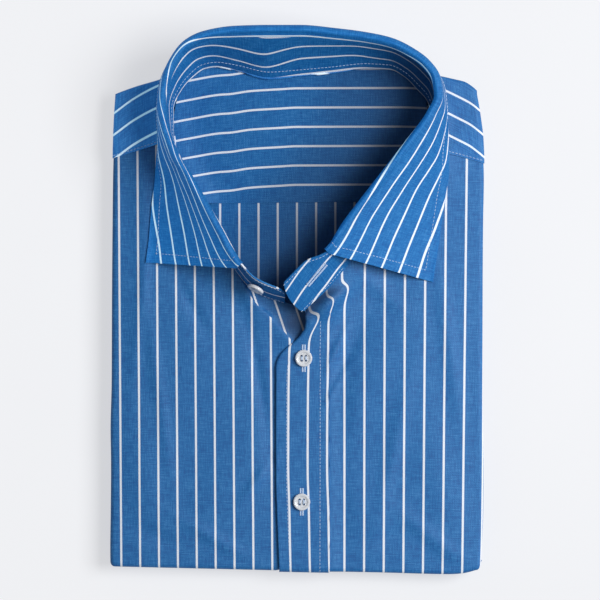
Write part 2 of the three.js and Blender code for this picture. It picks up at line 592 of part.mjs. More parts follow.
// Everything turned under: one rounded solid whose sides show its layers.
// inset of each layer: left, right, top, bottom, lowest layer first
const layerInsets = [
  [1.4, 1.2, 2.2, 1.6], [0.5, 0.4, 1.2, 0.5], [1.1, 0, 2.4, 1.2], [0.2, 0.9, 1.4, 0.2],
];
const grooveDepth = 1.3;
function layersSolid() {
  const outline = [];
  const corner = 5;
  const push = (x, y, nx, ny) => outline.push([x, y, nx, ny]);
  for (const y of [-150, -125, -100, -60, -20, 20, 60, 90, 112]) push(foldRight(y), y, 1, 0);
  const arc = (cx, cy, from, to) => {
    for (let k = 0; k <= 4; k += 1) {
      const a = mix(from, to, k / 4);
      push(cx + corner * Math.cos(a), cy + corner * Math.sin(a), Math.cos(a), Math.sin(a));
    }
  };
  arc(foldRight(125) - corner, 130.5 - corner, 0, Math.PI / 2);
  for (const x of [104, 96, 86, 76]) push(x, Math.min(foldShoulder(x), 146) - 0.4, 0, 1);
  for (const x of [60, 40, 20, 0, -20, -40, -60]) push(x, 143.6, 0, 1);
  for (const x of [-74, -86, -96, -104]) push(x, Math.min(foldShoulder(x), 146) - 0.4, 0, 1);
  arc(foldLeft(125) + corner, 131.5 - corner, Math.PI / 2, Math.PI);
  for (const y of [112, 90, 60, 20, -20, -60, -100, -125, -150]) push(foldLeft(y), y, -1, 0);
  arc(-120.3 + corner, foldBottom(-118) + corner, Math.PI, 1.5 * Math.PI);
  for (const x of [-95, -60, -25, 10, 45, 80, 100]) push(x, foldBottom(x), 0, -1);
  arc(119.6 - corner, foldBottom(118) + corner, 1.5 * Math.PI, 2 * Math.PI);
  const layerHeight = stackTop / layerCount;
  const round = [[0.02, 1], [0.15, 0.45], [0.5, 0], [0.85, 0.45], [0.98, 1]];
  const rings = [];
  layerInsets.forEach((inset, layer) => {
    round.forEach(([share, depth]) => {
      const edge = depth * grooveDepth;
      rings.push(outline.map(([x, y, nx, ny]) => {
        const by = inset[0] * Math.max(0, -nx) + inset[1] * Math.max(0, nx)
          + inset[2] * Math.max(0, ny) + inset[3] * Math.max(0, -ny) + edge;
        return new THREE.Vector3(x - nx * by, y - ny * by, (layer + share) * layerHeight);
      }));
    });
  });
  rings[0].forEach((p) => { p.z = 0; });
  rings[rings.length - 1].forEach((p) => { p.z = stackTop; });
  const points = rings.flat();
  const count = outline.length;
  const faces = [];
  for (let i = 0; i < rings.length - 1; i += 1) {
    for (let k = 0; k < count; k += 1) {
      const n = (k + 1) % count;
      const a = i * count;
      faces.push([a + k, a + n, a + count + n], [a + k, a + count + n, a + count + k]);
    }
  }
  const flat = (ring) => ring.map((p) => new THREE.Vector2(p.x, p.y));
  THREE.ShapeUtils.triangulateShape(flat(rings[0]), []).forEach(([a, b, c]) => faces.push([a, c, b]));
  const top = (rings.length - 1) * count;
  THREE.ShapeUtils.triangulateShape(flat(rings[rings.length - 1]), [])
    .forEach(([a, b, c]) => faces.push([top + a, top + b, top + c]));
  return solid("hidden_layers", points, faces);
}

const group = new THREE.Group();
group.name = "folded_shirt";
group.add(layersSolid(), back, yokeOuter, yokeInside, frontLeft, frontRight, placket, collarBand, collarFall,
  collarButton, ...buttons);
export default group;
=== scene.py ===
import math

import bpy
import numpy as np
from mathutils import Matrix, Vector


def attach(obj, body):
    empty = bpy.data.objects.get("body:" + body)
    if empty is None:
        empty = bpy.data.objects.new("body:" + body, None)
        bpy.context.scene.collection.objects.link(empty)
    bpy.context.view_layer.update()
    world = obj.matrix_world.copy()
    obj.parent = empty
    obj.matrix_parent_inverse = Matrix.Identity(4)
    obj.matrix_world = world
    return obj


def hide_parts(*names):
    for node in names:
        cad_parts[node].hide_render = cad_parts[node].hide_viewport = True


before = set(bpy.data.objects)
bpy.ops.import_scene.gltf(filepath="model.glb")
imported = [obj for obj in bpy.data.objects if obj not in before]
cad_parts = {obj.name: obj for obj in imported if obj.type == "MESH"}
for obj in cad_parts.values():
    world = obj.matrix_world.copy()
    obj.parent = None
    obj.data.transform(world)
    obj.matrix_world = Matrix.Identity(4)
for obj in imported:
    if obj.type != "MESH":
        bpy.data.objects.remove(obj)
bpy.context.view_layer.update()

# Sizes here are in millimetres until a mesh is made.
mm = 0.001

shirt = {
    "cloth": 0.55,  # one ply of oxford
    "collarCloth": 1.1,
    "panel": 1.2,  # height that each panel takes up in the stack
    "gap": 0.3,
    "stackTop": 12.8,  # height of the turned-under layers
    "foldRadius": 3.2,
    "seat": 0.1,  # clear space between two plies that lie on each other
}
# one stripe to the next on each piece
pitches = {
    "frontLeft": 12.11,
    "frontRight": 12.6,
    "placket": 12.45,
    "back": 12.33,
    "yokeInside": 12.38,
    "yokeOuter": 12.4,
    "collar": 12.3,
    "layers": 12.3,
}
backZ = shirt["stackTop"] + shirt["gap"] + shirt["panel"]
frontZ = backZ + shirt["gap"] + shirt["panel"]
lapZ = frontZ + shirt["gap"] + shirt["panel"]
yokeTop = lapZ + 0.15
wrapEnd = 1.2  # how far a front turns down round its folds, in radians

# y, left fold x, right fold x
sideRows = [
    (134.2, -116.6, 115.4), (121.3, -117.5, 117.6), (104.7, -118.2, 119.6), (87.3, -118.6, 120.2),
    (54, -118.9, 119.7), (2, -119.3, 119.4), (-50.6, -119.5, 119.3), (-81.4, -120.2, 119.5),
    (-104.5, -119.9, 120), (-134, -120.1, 119.8), (-159.7, -120.4, 118.7), (-172, -120.2, 117.8),
]
# x, y of the bottom fold
bottomRows = [
    (-121, -169.4), (-62.5, -170.8), (1.8, -172.3), (53.3, -173.3), (98, -174.4), (105, -174), (121, -170),
]
# x, y of the fold across the shoulders
shoulderRows = [
    (-121, 132.2), (-116.6, 134.2), (-104, 138.9), (-88.2, 143.6), (-73.9, 148.6), (-62, 154),
    (-51, 153.6), (-36.5, 150.6), (-18, 146), (0.5, 147.6), (23.5, 150), (44, 152.6), (59, 152.6),
    (68.5, 150.6), (76.8, 148.2), (92.5, 145.6), (101.6, 143.6), (107.3, 142.2), (112.5, 139), (121, 131),
]
# x, y of the seams between yoke and fronts
leftSeamRows = [(-122, 91.6), (-114, 94.1), (-92.8, 100.7), (-78.4, 105.9), (-74, 107)]
rightSeamRows = [(78, 100), (83.9, 98.9), (99.2, 95), (122, 88.4)]
# y, x of the fronts' inner edges
leftInnerRows = [
    (107, -78.6), (97.5, -77), (82.5, -71.5), (65.5, -64.5), (46, -54), (25.5, -41.5), (7.5, -26),
    (0, -6), (-4, 6), (-8, 15.5), (-18, 18.6), (-30, 18.8), (-180, 18.8),
]
rightInnerRows = [
    (108, 83.5), (91, 73.5), (67.5, 60), (43, 44.5), (22.5, 30), (9, 15), (1.5, 6.5), (-2.5, 3.6),
    (-5.7, 5), (-11.4, 7.2), (-15.7, 6.6), (-20, 4.2), (-24.9, -0.1), (-29.8, -6.3), (-34.1, -9.9),
    (-38.3, -11.8), (-45.1, -12.6), (-62, -12.9), (-113.3, -12.9), (-133.1, -12.3), (-172, -10.7),
]
# collar stations from the left end round the back to the right end:
# seam x y z, roll x y z, leaf edge x y z (None on the band's free ends), steepness by the roll
collarRows = [
    (-7.6, 0.5, 16, -7.2, 8.8, 35, None, None, None, None),
    (-26, 7.5, 17, -22, 14.5, 42, None, None, None, None),
    (-41.5, 25.5, 21, -36, 24, 49, -97, 26, 18.6, 0.35),
    (-54, 46, 22, -48, 44.5, 51, -95, 41.5, 18.6, 0.35),
    (-64.5, 65.5, 22, -59.5, 64.5, 51.5, -93.5, 61, 18.8, 0.4),
    (-71.5, 82.5, 21.5, -69, 81, 51.5, -91.5, 77.5, 19, 0.5),
    (-77, 97.5, 21, -77.5, 95, 51.5, -90.5, 91.5, 20, 0.6),
    (-79, 111.5, 20, -83, 110, 51.5, -89.5, 105, 20.5, 0.5),
    (-79, 125, 19, -85, 125, 51.5, -90, 121.5, 20.5, 0.5),
    (-74, 136.5, 18, -82.5, 140, 51.5, -88.5, 139, 19, 0.5),
    (-66, 145.5, 17.5, -77, 153, 51, -82.5, 154, 13, 0.5),
    (-59, 150, 17, -69, 163, 51, -72, 162, 6, 0.5),
    (-51, 151, 16.7, -57.5, 168.5, 51, -59, 167, 5, 0.5),
    (-36.5, 148, 16.4, -38.5, 171.5, 51, -39.5, 170, 4.4, 0.5),
    (-18, 143.6, 16.2, -18.5, 172, 51, -19, 170.5, 4.4, 0.5),
    (0.5, 145, 16.2, 2, 172, 51, 2, 170.5, 4.4, 0.5),
    (23.5, 147.5, 16.5, 24, 170, 51, 24, 168.5, 4.4, 0.5),
    (44, 150, 17, 43, 167.5, 51, 44.5, 166, 4.6, 0.5),
    (59, 149.5, 17.6, 58.5, 164, 51.7, 60.5, 163, 6, 0.5),
    (68.5, 145, 18, 71, 158, 52, 75, 158, 12, 0.5),
    (76.5, 137, 18.6, 81, 150.5, 52, 88, 150, 18, 0.5),
    (83, 129.5, 19.5, 87, 141.5, 51.7, 95, 136, 20.5, 0.5),
    (86.5, 119, 20.5, 88.5, 130.5, 51.2, 96.5, 121, 20.5, 0.5),
    (83.5, 108, 21.5, 83.5, 119, 50.7, 97, 107, 20, 0.4),
    (73.5, 91, 23.5, 69.5, 100, 49.7, 97.5, 86.5, 19.4, 0.3),
    (60, 67.5, 25.5, 52, 77.5, 48.3, 94.5, 65, 19, 0.2),
    (44.5, 43, 26, 34.5, 55, 46.7, 91, 39, 18.8, 0.1),
    (30, 22.5, 26, 18, 33.5, 45, 87, 13.5, 18.6, 0),
    (15, 9, 25.5, 5.5, 25, 43.5, None, None, None, None),
    (2.5, -2.5, 24.5, -6, 13.5, 41, None, None, None, None),
]
firstFall = 2
lastFall = 27
lastStation = len(collarRows) - 1


def mix(a, b, t):
    return a + (b - a) * t


def smooth(a, b, v):
    t = np.clip((np.asarray(v, float) - a) / (b - a), 0, 1)
    return t * t * (3 - 2 * t)


# a smooth curve through rows of (at, value) that never overshoots its rows
def through(rows, column=1):
    rows = sorted(rows, key=lambda row: row[0])
    xs = np.array([row[0] for row in rows], float)
    ys = np.array([row[column] for row in rows], float)
    step = np.diff(ys) / np.diff(xs)
    slope = np.zeros_like(ys)
    slope[0], slope[-1] = step[0], step[-1]
    a, b = step[:-1], step[1:]
    turns = a * b <= 0
    slope[1:-1] = np.where(turns, 0, 2 * a * b / np.where(turns, 1, a + b))

    def curve(x):
        x = np.clip(np.asarray(x, float), xs[0], xs[-1])
        i = np.clip(np.searchsorted(xs, x, side="right") - 1, 0, len(xs) - 2)
        h = xs[i + 1] - xs[i]
        t = (x - xs[i]) / h
        t2, t3 = t * t, t * t * t
        return (
            (2 * t3 - 3 * t2 + 1) * ys[i] + (t3 - 2 * t2 + t) * h * slope[i]
            + (3 * t2 - 2 * t3) * ys[i + 1] + (t3 - t2) * h * slope[i + 1]
        )

    return curve


foldLeft = through(sideRows, 1)
foldRight = through(sideRows, 2)
foldBottom = through(bottomRows)
foldShoulder = through(shoulderRows)
seamLeft = through(leftSeamRows)
seamRight = through(rightSeamRows)
innerLeft = through(leftInnerRows)
innerRight = through(rightInnerRows)

seamLine = np.array([row[:3] for row in collarRows], float)


# distance to the neck seam between two stations, and the seam's height there
def neckSeam(x, y, first, last):
    x, y = np.broadcast_arrays(np.asarray(x, float), np.asarray(y, float))
    best = np.full(x.shape, 1e9)
    height = np.zeros(x.shape)
    for i in range(first, last):
        a, b = seamLine[i], seamLine[i + 1]
        dx, dy = b[0] - a[0], b[1] - a[1]
        t = np.clip(((x - a[0]) * dx + (y - a[1]) * dy) / (dx * dx + dy * dy), 0, 1)
        d = np.hypot(x - a[0] - dx * t, y - a[1] - dy * t)
        height = np.where(d < best, mix(a[2], b[2], t), height)
        best = np.minimum(best, d)
    return best, height


def raised(x, y, base, first, last, reach):
    d, z = neckSeam(x, y, first, last)
    lift = np.exp(-((d / reach) ** 2))
    return np.maximum(base, mix(base, z - shirt["gap"] - shirt["seat"], lift))


# soft rises in the top panels: x, y, reach along x, reach along y, height, turn in degrees
softRows = [
    (-70, -20, 34, 60, 1.1, 20), (-40, -110, 20, 50, 1.0, -35), (-95, -120, 14, 50, 0.9, 10),
    (70, -30, 28, 60, 1.1, -15), (92, -115, 16, 46, 1.0, 15), (48, -140, 20, 30, 0.8, 40),
    (40, -60, 13, 40, 0.7, -30), (-98.7, 58, 6, 34, 0.7, 0),
]
# finer creases, only in the visible cloth: the same columns
creaseRows = [
    (-24, -112, 3.5, 20, 0.7, -38), (-88, -60, 4, 60, 0.45, 8), (-55, -150, 4, 28, 0.5, 60),
    (26, -28, 2.6, 16, 0.6, -24), (24, -55, 2.6, 18, 0.5, -30), (62, -95, 5, 46, 0.5, -12),
    (98, -30, 5, 50, 0.55, 8), (86, -150, 5, 26, 0.6, 52), (-67, -3, 4, 18, -0.5, 29),
    (-100, 0, 4, 50, 0.4, -6), (54, 8, 5, 22, 0.5, 48), (-24, -51, 4, 34, -0.6, 11),
    (30, -40, 4, 24, -0.5, -26), (60, -150, 6, 16, -0.5, -70), (-90, -150, 6, 16, -0.5, 66),
]


drape = {"soft": 1.5, "crease": 2.2, "ripple": 0.18, "rippleSize": 46, "puff": 0.1}
# the same columns: the swell over the buttonhole end, the dip below it, and the shade laid in the hollow
tabRow = (17, 1, 13, 11, 3.4, 0)
dipRow = (7, -10, 7, 6, -2.4, 0)
hollowRow = (-2, -12, 11, 14, 0.78, 0)


def rises(rows, x, y):
    z = 0
    for cx, cy, rx, ry, height, turn in rows:
        a = math.radians(turn)
        u = ((x - cx) * math.cos(a) + (y - cy) * math.sin(a)) / rx
        v = (-(x - cx) * math.sin(a) + (y - cy) * math.cos(a)) / ry
        z = z + height * np.exp(-(u * u + v * v))
    return z


# slow waves from a few turned sines, the same each run
def ripple(x, y, size, seed=0.0):
    z = 0
    for k in range(6):
        a = 1.1 + 2.4 * k + seed
        f = (0.6 + 0.27 * k) * 2 * math.pi / size
        z = z + np.sin(f * (x * math.cos(a) + y * math.sin(a)) + 1.7 * k + seed) / (1 + 0.5 * k)
    return z / 3


def edgeFade(x, y):
    return smooth(0, 14, np.minimum(np.minimum(x - foldLeft(y), foldRight(y) - x), y - foldBottom(x)))


# how far the loose cloth of a front lies above the stack
def draped(x, y, clothShare, creaseShare, seed):
    cloth = drape["soft"] * rises(softRows, x, y) * clothShare
    fine = drape["crease"] * rises(creaseRows, x, y) * creaseShare
    fine = fine + drape["ripple"] * ripple(x, y, drape["rippleSize"], seed)
    return (cloth + fine + drape["puff"]) * edgeFade(x, y)


# the tuck in the left front, below the button end of the band: x, y along its edge
tuckRows = [(-44, 28), (-41.3, 23.6), (-24.7, -2.2), (-16.2, -9.6), (-6.3, -20.6), (2, -30)]
tuckEdge = through(tuckRows)
tuck = {"height": 2.1, "reach": 9, "slide": 0.33, "slideFrom": 9.6}


def tuckSide(x, y):
    return 0.62 * (y - tuckEdge(x))


def leftHeight(x, y):
    side = tuckSide(x, y)
    along = smooth(-44, -30, x) * smooth(14, 0, x)
    fold = tuck["height"] * np.exp(-((side / tuck["reach"]) ** 2)) * (1 - smooth(-0.2, 1.8, side)) * along
    loose = draped(x, y, smooth(-14, -26, x), smooth(-14, -24, x), 0.0)
    return raised(x, y, frontZ, 0, 8, 13) + loose + fold


def rightHeight(x, y):
    lap = mix(lapZ, frontZ, smooth(20, 32, x)) + 0.2
    away = smooth(2, 10, neckSeam(x, y, 23, 29)[0])
    swell = np.maximum(0, rises([tabRow, dipRow], x, y)) * away
    across = np.exp(-((ridgeSide(x, y) / ridge["width"]) ** 2)) * smooth(40, 26, x) * smooth(3, 9, x) * away
    return (
        raised(x, y, lap, 23, 29, 17) + swell + ridge["height"] * across
        + draped(x, y, smooth(24, 40, x), 1, 2.0)
    )


# the swell that crosses the stripes below the buttonhole end: y of its crest at each x,
# how far it carries the stripes before and behind it, and how wide that reaches
ridge = {"height": 1.3, "width": 4.5}
ridgeLine = through([(-10, -30), (0, -20), (13.8, -8.3), (23.4, 1.3), (32, 8.2), (50, 20)])
ridgeSlide = through([(-6, 0), (4, 3), (13.8, 6.3), (18, 5.1), (23.4, 3.5), (32, 2.3), (38, 0.6), (42, 0)])
ridgeWidth = through([(7, 7), (13.8, 6.5), (23.4, 4.6), (32, 5)])
ridgeBack = through([(7, 0), (13.8, 0.3), (23.4, 1.7), (32, 1.7), (41, 0)])


def ridgeSide(x, y):
    return y - ridgeLine(x)


def ridgeCarry(x, y):
    side = ridgeSide(x, y)
    return ridgeSlide(x) * np.exp(-((side / ridgeWidth(x)) ** 2)) - ridgeBack(x) * smooth(2, 10, side)


pieces = {}
stitchPaths = []  # (points in mm, which kind of stitch)


def gridNormals(points):
    along = np.empty_like(points)
    across = np.empty_like(points)
    along[1:-1] = points[2:] - points[:-2]
    along[0], along[-1] = points[1] - points[0], points[-1] - points[-2]
    across[:, 1:-1] = points[:, 2:] - points[:, :-2]
    across[:, 0] = points[:, 1] - points[:, 0]
    across[:, -1] = points[:, -1] - points[:, -2]
    normal = np.cross(across, along)
    return normal / np.maximum(np.linalg.norm(normal, axis=2, keepdims=True), 1e-9)


def linkObject(name, data):
    piece = bpy.data.objects.new(name, data)
    bpy.context.scene.collection.objects.link(piece)
    return piece


def meshOf(name, points, edges=(), faces=()):
    mesh = bpy.data.meshes.new(name)
    mesh.from_pydata((np.asarray(points) * mm).tolist(), list(edges), list(faces))
    return mesh


def addMap(mesh, name, corners):
    mesh.uv_layers.new(name=name).data.foreach_set("uv", np.asarray(corners, float).ravel())


# a closed mesh through lists of rings, each list with an end face on its first and its last ring
def loftMesh(name, lofts):
    points, faces = [], []
    for rings in lofts:
        start, count = len(points), len(rings[0])
        for low in range(start, start + (len(rings) - 1) * count, count):
            for k in range(count):
                n = (k + 1) % count
                faces.append((low + k, low + n, low + count + n, low + count + k))
        points.extend(point for ring in rings for point in ring)
        faces.append(tuple(range(start, start + count))[::-1])
        faces.append(tuple(range(len(points) - count, len(points))))
    return meshOf(name, points, faces=faces)


def smoothShade(mesh):
    mesh.polygons.foreach_set("use_smooth", [True] * len(mesh.polygons))


# a sheet of cloth from a grid of points, with its stripe map, then a wall of its thickness
# turned: the grid's faces are turned round, so that they look out of the cloth's outer side
# shade: painted shade, how far the cloth goes to its shaded colour, from 0 to 1
def clothSheet(name, points, stripes, thick, turned=False, edge=0.2, slid=None, shade=None):
    rows, columns = points.shape[:2]
    index = np.arange(rows * columns).reshape(rows, columns)
    corner = [index[:-1, :-1], index[:-1, 1:], index[1:, 1:], index[1:, :-1]]
    if turned:
        corner.reverse()
    faces = np.stack([c.ravel() for c in corner], axis=1)
    mesh = meshOf(name, points.reshape(-1, 3), faces=faces.tolist())
    if shade is not None:
        shade = np.stack([shade, 0 * shade], axis=-1)
    for label, values in (("stripes", stripes), ("slid", slid), ("shade", shade)):
        if values is not None:
            addMap(mesh, label, values.reshape(-1, 2)[faces.ravel()])
    smoothShade(mesh)
    piece = linkObject(name, mesh)
    wall = piece.modifiers.new("wall", "SOLIDIFY")
    wall.thickness = thick * mm
    wall.offset = -1
    wall.use_even_offset = False
    if edge:
        bevel = piece.modifiers.new("edge", "BEVEL")
        bevel.width = edge * mm
        bevel.segments = 3
        bevel.limit_method = "ANGLE"
        bevel.angle_limit = math.radians(58)
    pieces[name] = piece


# length from the grid's first row (axis 0) or first column (axis 1)
def arcLength(points, axis):
    step = np.linalg.norm(np.diff(points, axis=axis), axis=2)
    start = np.zeros_like(np.take(step, [0], axis=axis))
    return np.concatenate([start, np.cumsum(step, axis=axis)], axis=axis)


print("sizes and rows ready")

# Fronts
frontLayout = {
    # heights of the rows by which each panel is spread out from its seam to its bottom fold
    "leftYs": [
        104, 99, 92, 84, 75, 66, 56, 46, 36, 26, 17, 10, 5, 1, -3, -7, -13, -20, -30, -50, -75, -100, -125,
        -150, -167.5,
    ],
    "rightYs": [
        99, 92, 84, 76, 68, 58, 50, 42, 34, 26, 19, 13, 8, 3, -1, -4, -8, -12, -16, -20, -25, -30, -35,
        -40, -46, -58, -75, -100, -125, -150, -170,
    ],
    "rowStep": 1.5,
    "columns": 84,
    "wrapSteps": 8,
    "seamLap": 1.2,  # how far a front runs in under the yoke
    "low": -172,  # the lowest y at which the edges are read
    "crowd": 1.15,  # over 1 brings the columns closer at the inner edge
}


# places that have turned down round the side fold, the bottom fold or both, by these angles
def turnDown(x, y, z, sideSign, pastSide, pastBottom, radius):
    angle = np.maximum(pastSide, pastBottom)
    size = np.maximum(np.hypot(pastSide, pastBottom), 1e-9)
    out = radius * np.sin(angle)
    return np.stack([
        x + sideSign * pastSide / size * out,
        y - pastBottom / size * out,
        z - radius * (1 - np.cos(angle)),
    ], axis=-1)


def frontPanel(side, inner, seam, height, coarseYs):
    fold = foldLeft if side < 0 else foldRight
    radius = shirt["foldRadius"]
    rowCount = int((coarseYs[0] - coarseYs[-1]) / frontLayout["rowStep"])
    ys = np.linspace(coarseYs[0], coarseYs[-1], rowCount)
    share = np.interp(-ys, -np.array(coarseYs, float), np.linspace(0, 1, len(coarseYs)))
    wraps = np.linspace(0, wrapEnd, frontLayout["wrapSteps"] + 1)[1:]
    nominal = np.concatenate([ys, np.full(len(wraps), float(frontLayout["low"]))])
    share = np.concatenate([share, np.ones(len(wraps))])
    pastBottom = np.concatenate([np.zeros(len(ys)), wraps])
    start = inner(np.maximum(nominal, frontLayout["low"] + 2))
    end = fold(nominal) - side * radius
    shares = np.linspace(0, 1, frontLayout["columns"]) ** frontLayout["crowd"]
    x = start[:, None] + (end - start)[:, None] * shares[None, :]
    x = np.concatenate([x, np.repeat(end[:, None], len(wraps), axis=1)], axis=1)
    pastSide = np.concatenate([np.zeros(len(shares)), wraps])[None, :] * np.ones_like(x)
    pastBottom = pastBottom[:, None] * np.ones_like(x)
    top = seam(x) + frontLayout["seamLap"]
    low = foldBottom(x) + radius
    y = np.where(pastBottom > 0, low, np.concatenate([ys, np.zeros(len(wraps))])[:, None] + 0 * x)
    topShare, lowShare = 1 - smooth(0, 0.35, share)[:, None], smooth(0.7, 1, share)[:, None]
    y = np.where(pastBottom > 0, y, y + (top - ys[0]) * topShare + (low - ys[-1]) * lowShare)
    # the left front turns down more tightly where the right one lies over it
    if side < 0:
        radius = radius - 0.9 * smooth(-13.5, -10.5, x)
    points = turnDown(x, y, height(x, y), side, pastSide, pastBottom, radius)
    flatX = x + side * pastSide * radius
    flatY = y - pastBottom * radius
    return points, flatX, flatY


# each panel's stripes are counted from one of them, whose x is given at the bottom
bottomY = -166.7
leftStripe = {"x": -112.86, "lean": -0.0065}
rightStripe = {"x": 30.3, "widen": 0.0019}  # its pitch grows toward the top


def leftStripes(x, y):
    first = leftStripe["x"] + leftStripe["lean"] * (y - bottomY)
    return (x - first) / pitches["frontLeft"]


# how far the stripes have slid above the tuck's edge, and which side of it a place is on
def tuckMap(x, y):
    slide = tuck["slide"] * np.maximum(0, tuck["slideFrom"] - y) * smooth(-46, -40, x)
    return np.stack([tuckSide(x, y), slide / pitches["frontLeft"]], axis=-1)


def rightStripes(x, y):
    # above the placket's end the cloth is drawn over, so that its stripe meets the placket's
    drawn = 2.4 * smooth(27, 22.5, x) * smooth(-20, -10, y)
    pitch = pitches["frontRight"] + rightStripe["widen"] * (y - bottomY)
    return (x - ridgeCarry(x, y) - drawn - rightStripe["x"]) / pitch


# the hollow below the buttonhole end
def hollowShade(x, y):
    return rises([hollowRow], x, y) * smooth(-0.5, 1.5, tuckSide(x, y))


# the fold under the buttonhole end's lower edge
def tabShade(x, y):
    strength, middle, reach = 0.78, 4.5, 5
    away = neckSeam(x, y, 26, 29)[0]
    return strength * np.exp(-(((away - middle) / reach) ** 2)) * smooth(38, 26, x) * smooth(14, 6, y)


def buildFronts():
    points, x, y = frontPanel(-1, innerLeft, seamLeft, leftHeight, frontLayout["leftYs"])
    stripes = np.stack([leftStripes(x, y), y / pitches["frontLeft"]], axis=-1)
    clothSheet("frontLeftCloth", points, stripes, shirt["cloth"], slid=tuckMap(x, y), shade=hollowShade(x, y))
    points, x, y = frontPanel(1, innerRight, seamRight, rightHeight, frontLayout["rightYs"])
    stripes = np.stack([rightStripes(x, y), y / pitches["frontRight"]], axis=-1)
    clothSheet("frontRightCloth", points, stripes, shirt["cloth"], turned=True, shade=tabShade(x, y))


buildFronts()
print("fronts ready")

# Placket
placketSize = {
    "lift": 0.6,  # of its outer face over the right front
    "cloth": 0.5,
    "rollRadius": 1.5,  # where the edge rolls under, up by the collar
    "foldRadius": 0.5,  # down the straight edge
    "stitchIn": 6.3,
}


def placketPanel():
    ys = np.concatenate([np.linspace(0, -60, 61), np.linspace(-61.5, -169.2, 73)])
    rightEdge = through([(2, 14), (-2, 18.5), (-8, 21), (-171, 20.8), (-180, 20.7)])
    start = innerRight(ys) - 0.2 + 3.6 * smooth(-9, -3, ys)
    end = rightEdge(ys)
    shares = np.linspace(0, 1, 36)
    x = start[:, None] + (end - start)[:, None] * shares[None, :]
    y = ys[:, None] + 0 * x
    step = 0.4
    dx = (rightHeight(x + step, y) - rightHeight(x - step, y)) / (2 * step)
    dy = (rightHeight(x, y + step) - rightHeight(x, y - step)) / (2 * step)
    normal = np.stack([-dx, -dy, np.ones_like(dx)], axis=-1)
    normal /= np.linalg.norm(normal, axis=2, keepdims=True)
    lift = placketSize["lift"] + 0.35 * smooth(-12, -2, y)
    points = np.stack([x, y, rightHeight(x, y)], axis=-1) + normal * lift[..., None]
    # the left edge rolls under, more where the lip is
    edge = points[:, 0]
    run = np.gradient(edge[:, :2], axis=0)
    out = np.stack([run[:, 1], -run[:, 0]], axis=-1)
    out /= np.linalg.norm(out, axis=1, keepdims=True)
    out *= np.where(out[:, :1] > 0, -1, 1)
    rolled = smooth(-50, -40, ys) * (1 - smooth(-4, -1, ys))
    roll = mix(placketSize["foldRadius"], placketSize["rollRadius"], rolled)
    angles = np.linspace(2.5, 0.25, 9)
    curled = np.zeros((len(ys), len(angles), 3))
    for k, angle in enumerate(angles):
        curled[:, k, :2] = edge[:, :2] + out * (roll * math.sin(angle))[:, None]
        curled[:, k, 2] = edge[:, 2] - roll * (1 - math.cos(angle))
    flat = np.concatenate([x[:, :1] - roll[:, None] * angles[None, :], x], axis=1)
    points = np.concatenate([curled, points], axis=1)
    y = ys[:, None] + 0 * flat
    # the bottom turns under, round the right front's fold
    wraps = np.linspace(0, wrapEnd, 9)[1:]
    low = points[-1]
    radius = shirt["foldRadius"] + placketSize["lift"] + shirt["seat"]
    rows = []
    for angle in wraps:
        row = low.copy()
        row[:, 1] = foldBottom(low[:, 0]) + shirt["foldRadius"] - radius * math.sin(angle)
        row[:, 2] -= radius * (1 - math.cos(angle))
        rows.append(row)
    points = np.concatenate([points, np.array(rows)], axis=0)
    flat = np.concatenate([flat, np.repeat(flat[-1:], len(wraps), axis=0)], axis=0)
    y = np.concatenate([y, y[-1:] - (wraps * radius)[:, None]], axis=0)
    return points, flat, y, len(angles)


def placketStripes(x, y):
    lean = through([(-180, -4), (-166.7, -4.4), (-133, -5), (-105, -5.77), (-60, -5.6), (-30, -5.1), (0, -5)])
    return (x - ridgeCarry(x, y) - lean(y)) / pitches["placket"]


def buildPlacket():
    points, x, y, curl = placketPanel()
    stripes = np.stack([placketStripes(x, y), y / pitches["placket"]], axis=-1)
    shade = tabShade(x, y)
    clothSheet("placketStrip", points, stripes, placketSize["cloth"], turned=True, edge=0.18, shade=shade)
    flat = points[:, curl:]
    normals = -gridNormals(flat)
    normals *= np.sign(normals[..., 2:3])
    for side, start in (("firstColumn", -36), ("lastColumn", -12)):
        path = insetPath(flat, normals, side, placketSize["stitchIn"], 0.06)
        stitchPaths.append((path[path[:, 1] < start], "topstitch"))


# a line across a grid at a distance from one of its sides, just off the cloth
def insetPath(points, normals, side, distance, lift, startTrim=0, endTrim=0):
    if side in ("firstColumn", "lastColumn"):
        points, normals = points.transpose(1, 0, 2), normals.transpose(1, 0, 2)
    if side in ("lastRow", "lastColumn"):
        points, normals = points[::-1], normals[::-1]
    lengths = arcLength(points, 0)
    path = []
    for j in range(points.shape[1]):
        if lengths[-1, j] < distance:
            continue
        here, up = (
            np.array([np.interp(distance, lengths[:, j], values[:, j, k]) for k in range(3)])
            for values in (points, normals)
        )
        path.append(here + lift * up)
    path = np.array(path)
    run = np.concatenate([[0], np.cumsum(np.linalg.norm(np.diff(path, axis=0), axis=1))])
    return path[(run >= startTrim) & (run <= run[-1] - endTrim)]


buildPlacket()
print("placket ready")

# Back and yoke
neckLine = [*(row[:3] for row in collarRows[8:22]), (-80, 118, 19), (89, 112, 20)]
neckY = through(neckLine, 1)
neckZ = through(neckLine, 2)


# y, x of the collar's right side, which keeps light off what lies inside it
shadeLine = through([(25, 5.5), (33.5, 18), (55, 34.5), (77.5, 52), (100, 69.5), (119, 83.5), (150, 84)])
insideLook = {"shade": 0.12, "wideShade": 0.42, "wide": (34, 74), "nearShade": 0.16, "near": (12, 36)}


def insideShade(x, y):
    away = np.maximum(0, (shadeLine(y) - x) * 0.78)
    wide = insideLook["wideShade"] * (1 - smooth(*insideLook["wide"], away))
    near = insideLook["nearShade"] * (1 - smooth(*insideLook["near"], away))
    return insideLook["shade"] + wide + near


backSize = {
    "top": 69.5,
    "low": -162,
    "sideIn": 5,  # from the side folds and the bottom fold
    "lowIn": 6,
    "stripeX": -49.5,  # one of its stripes
}


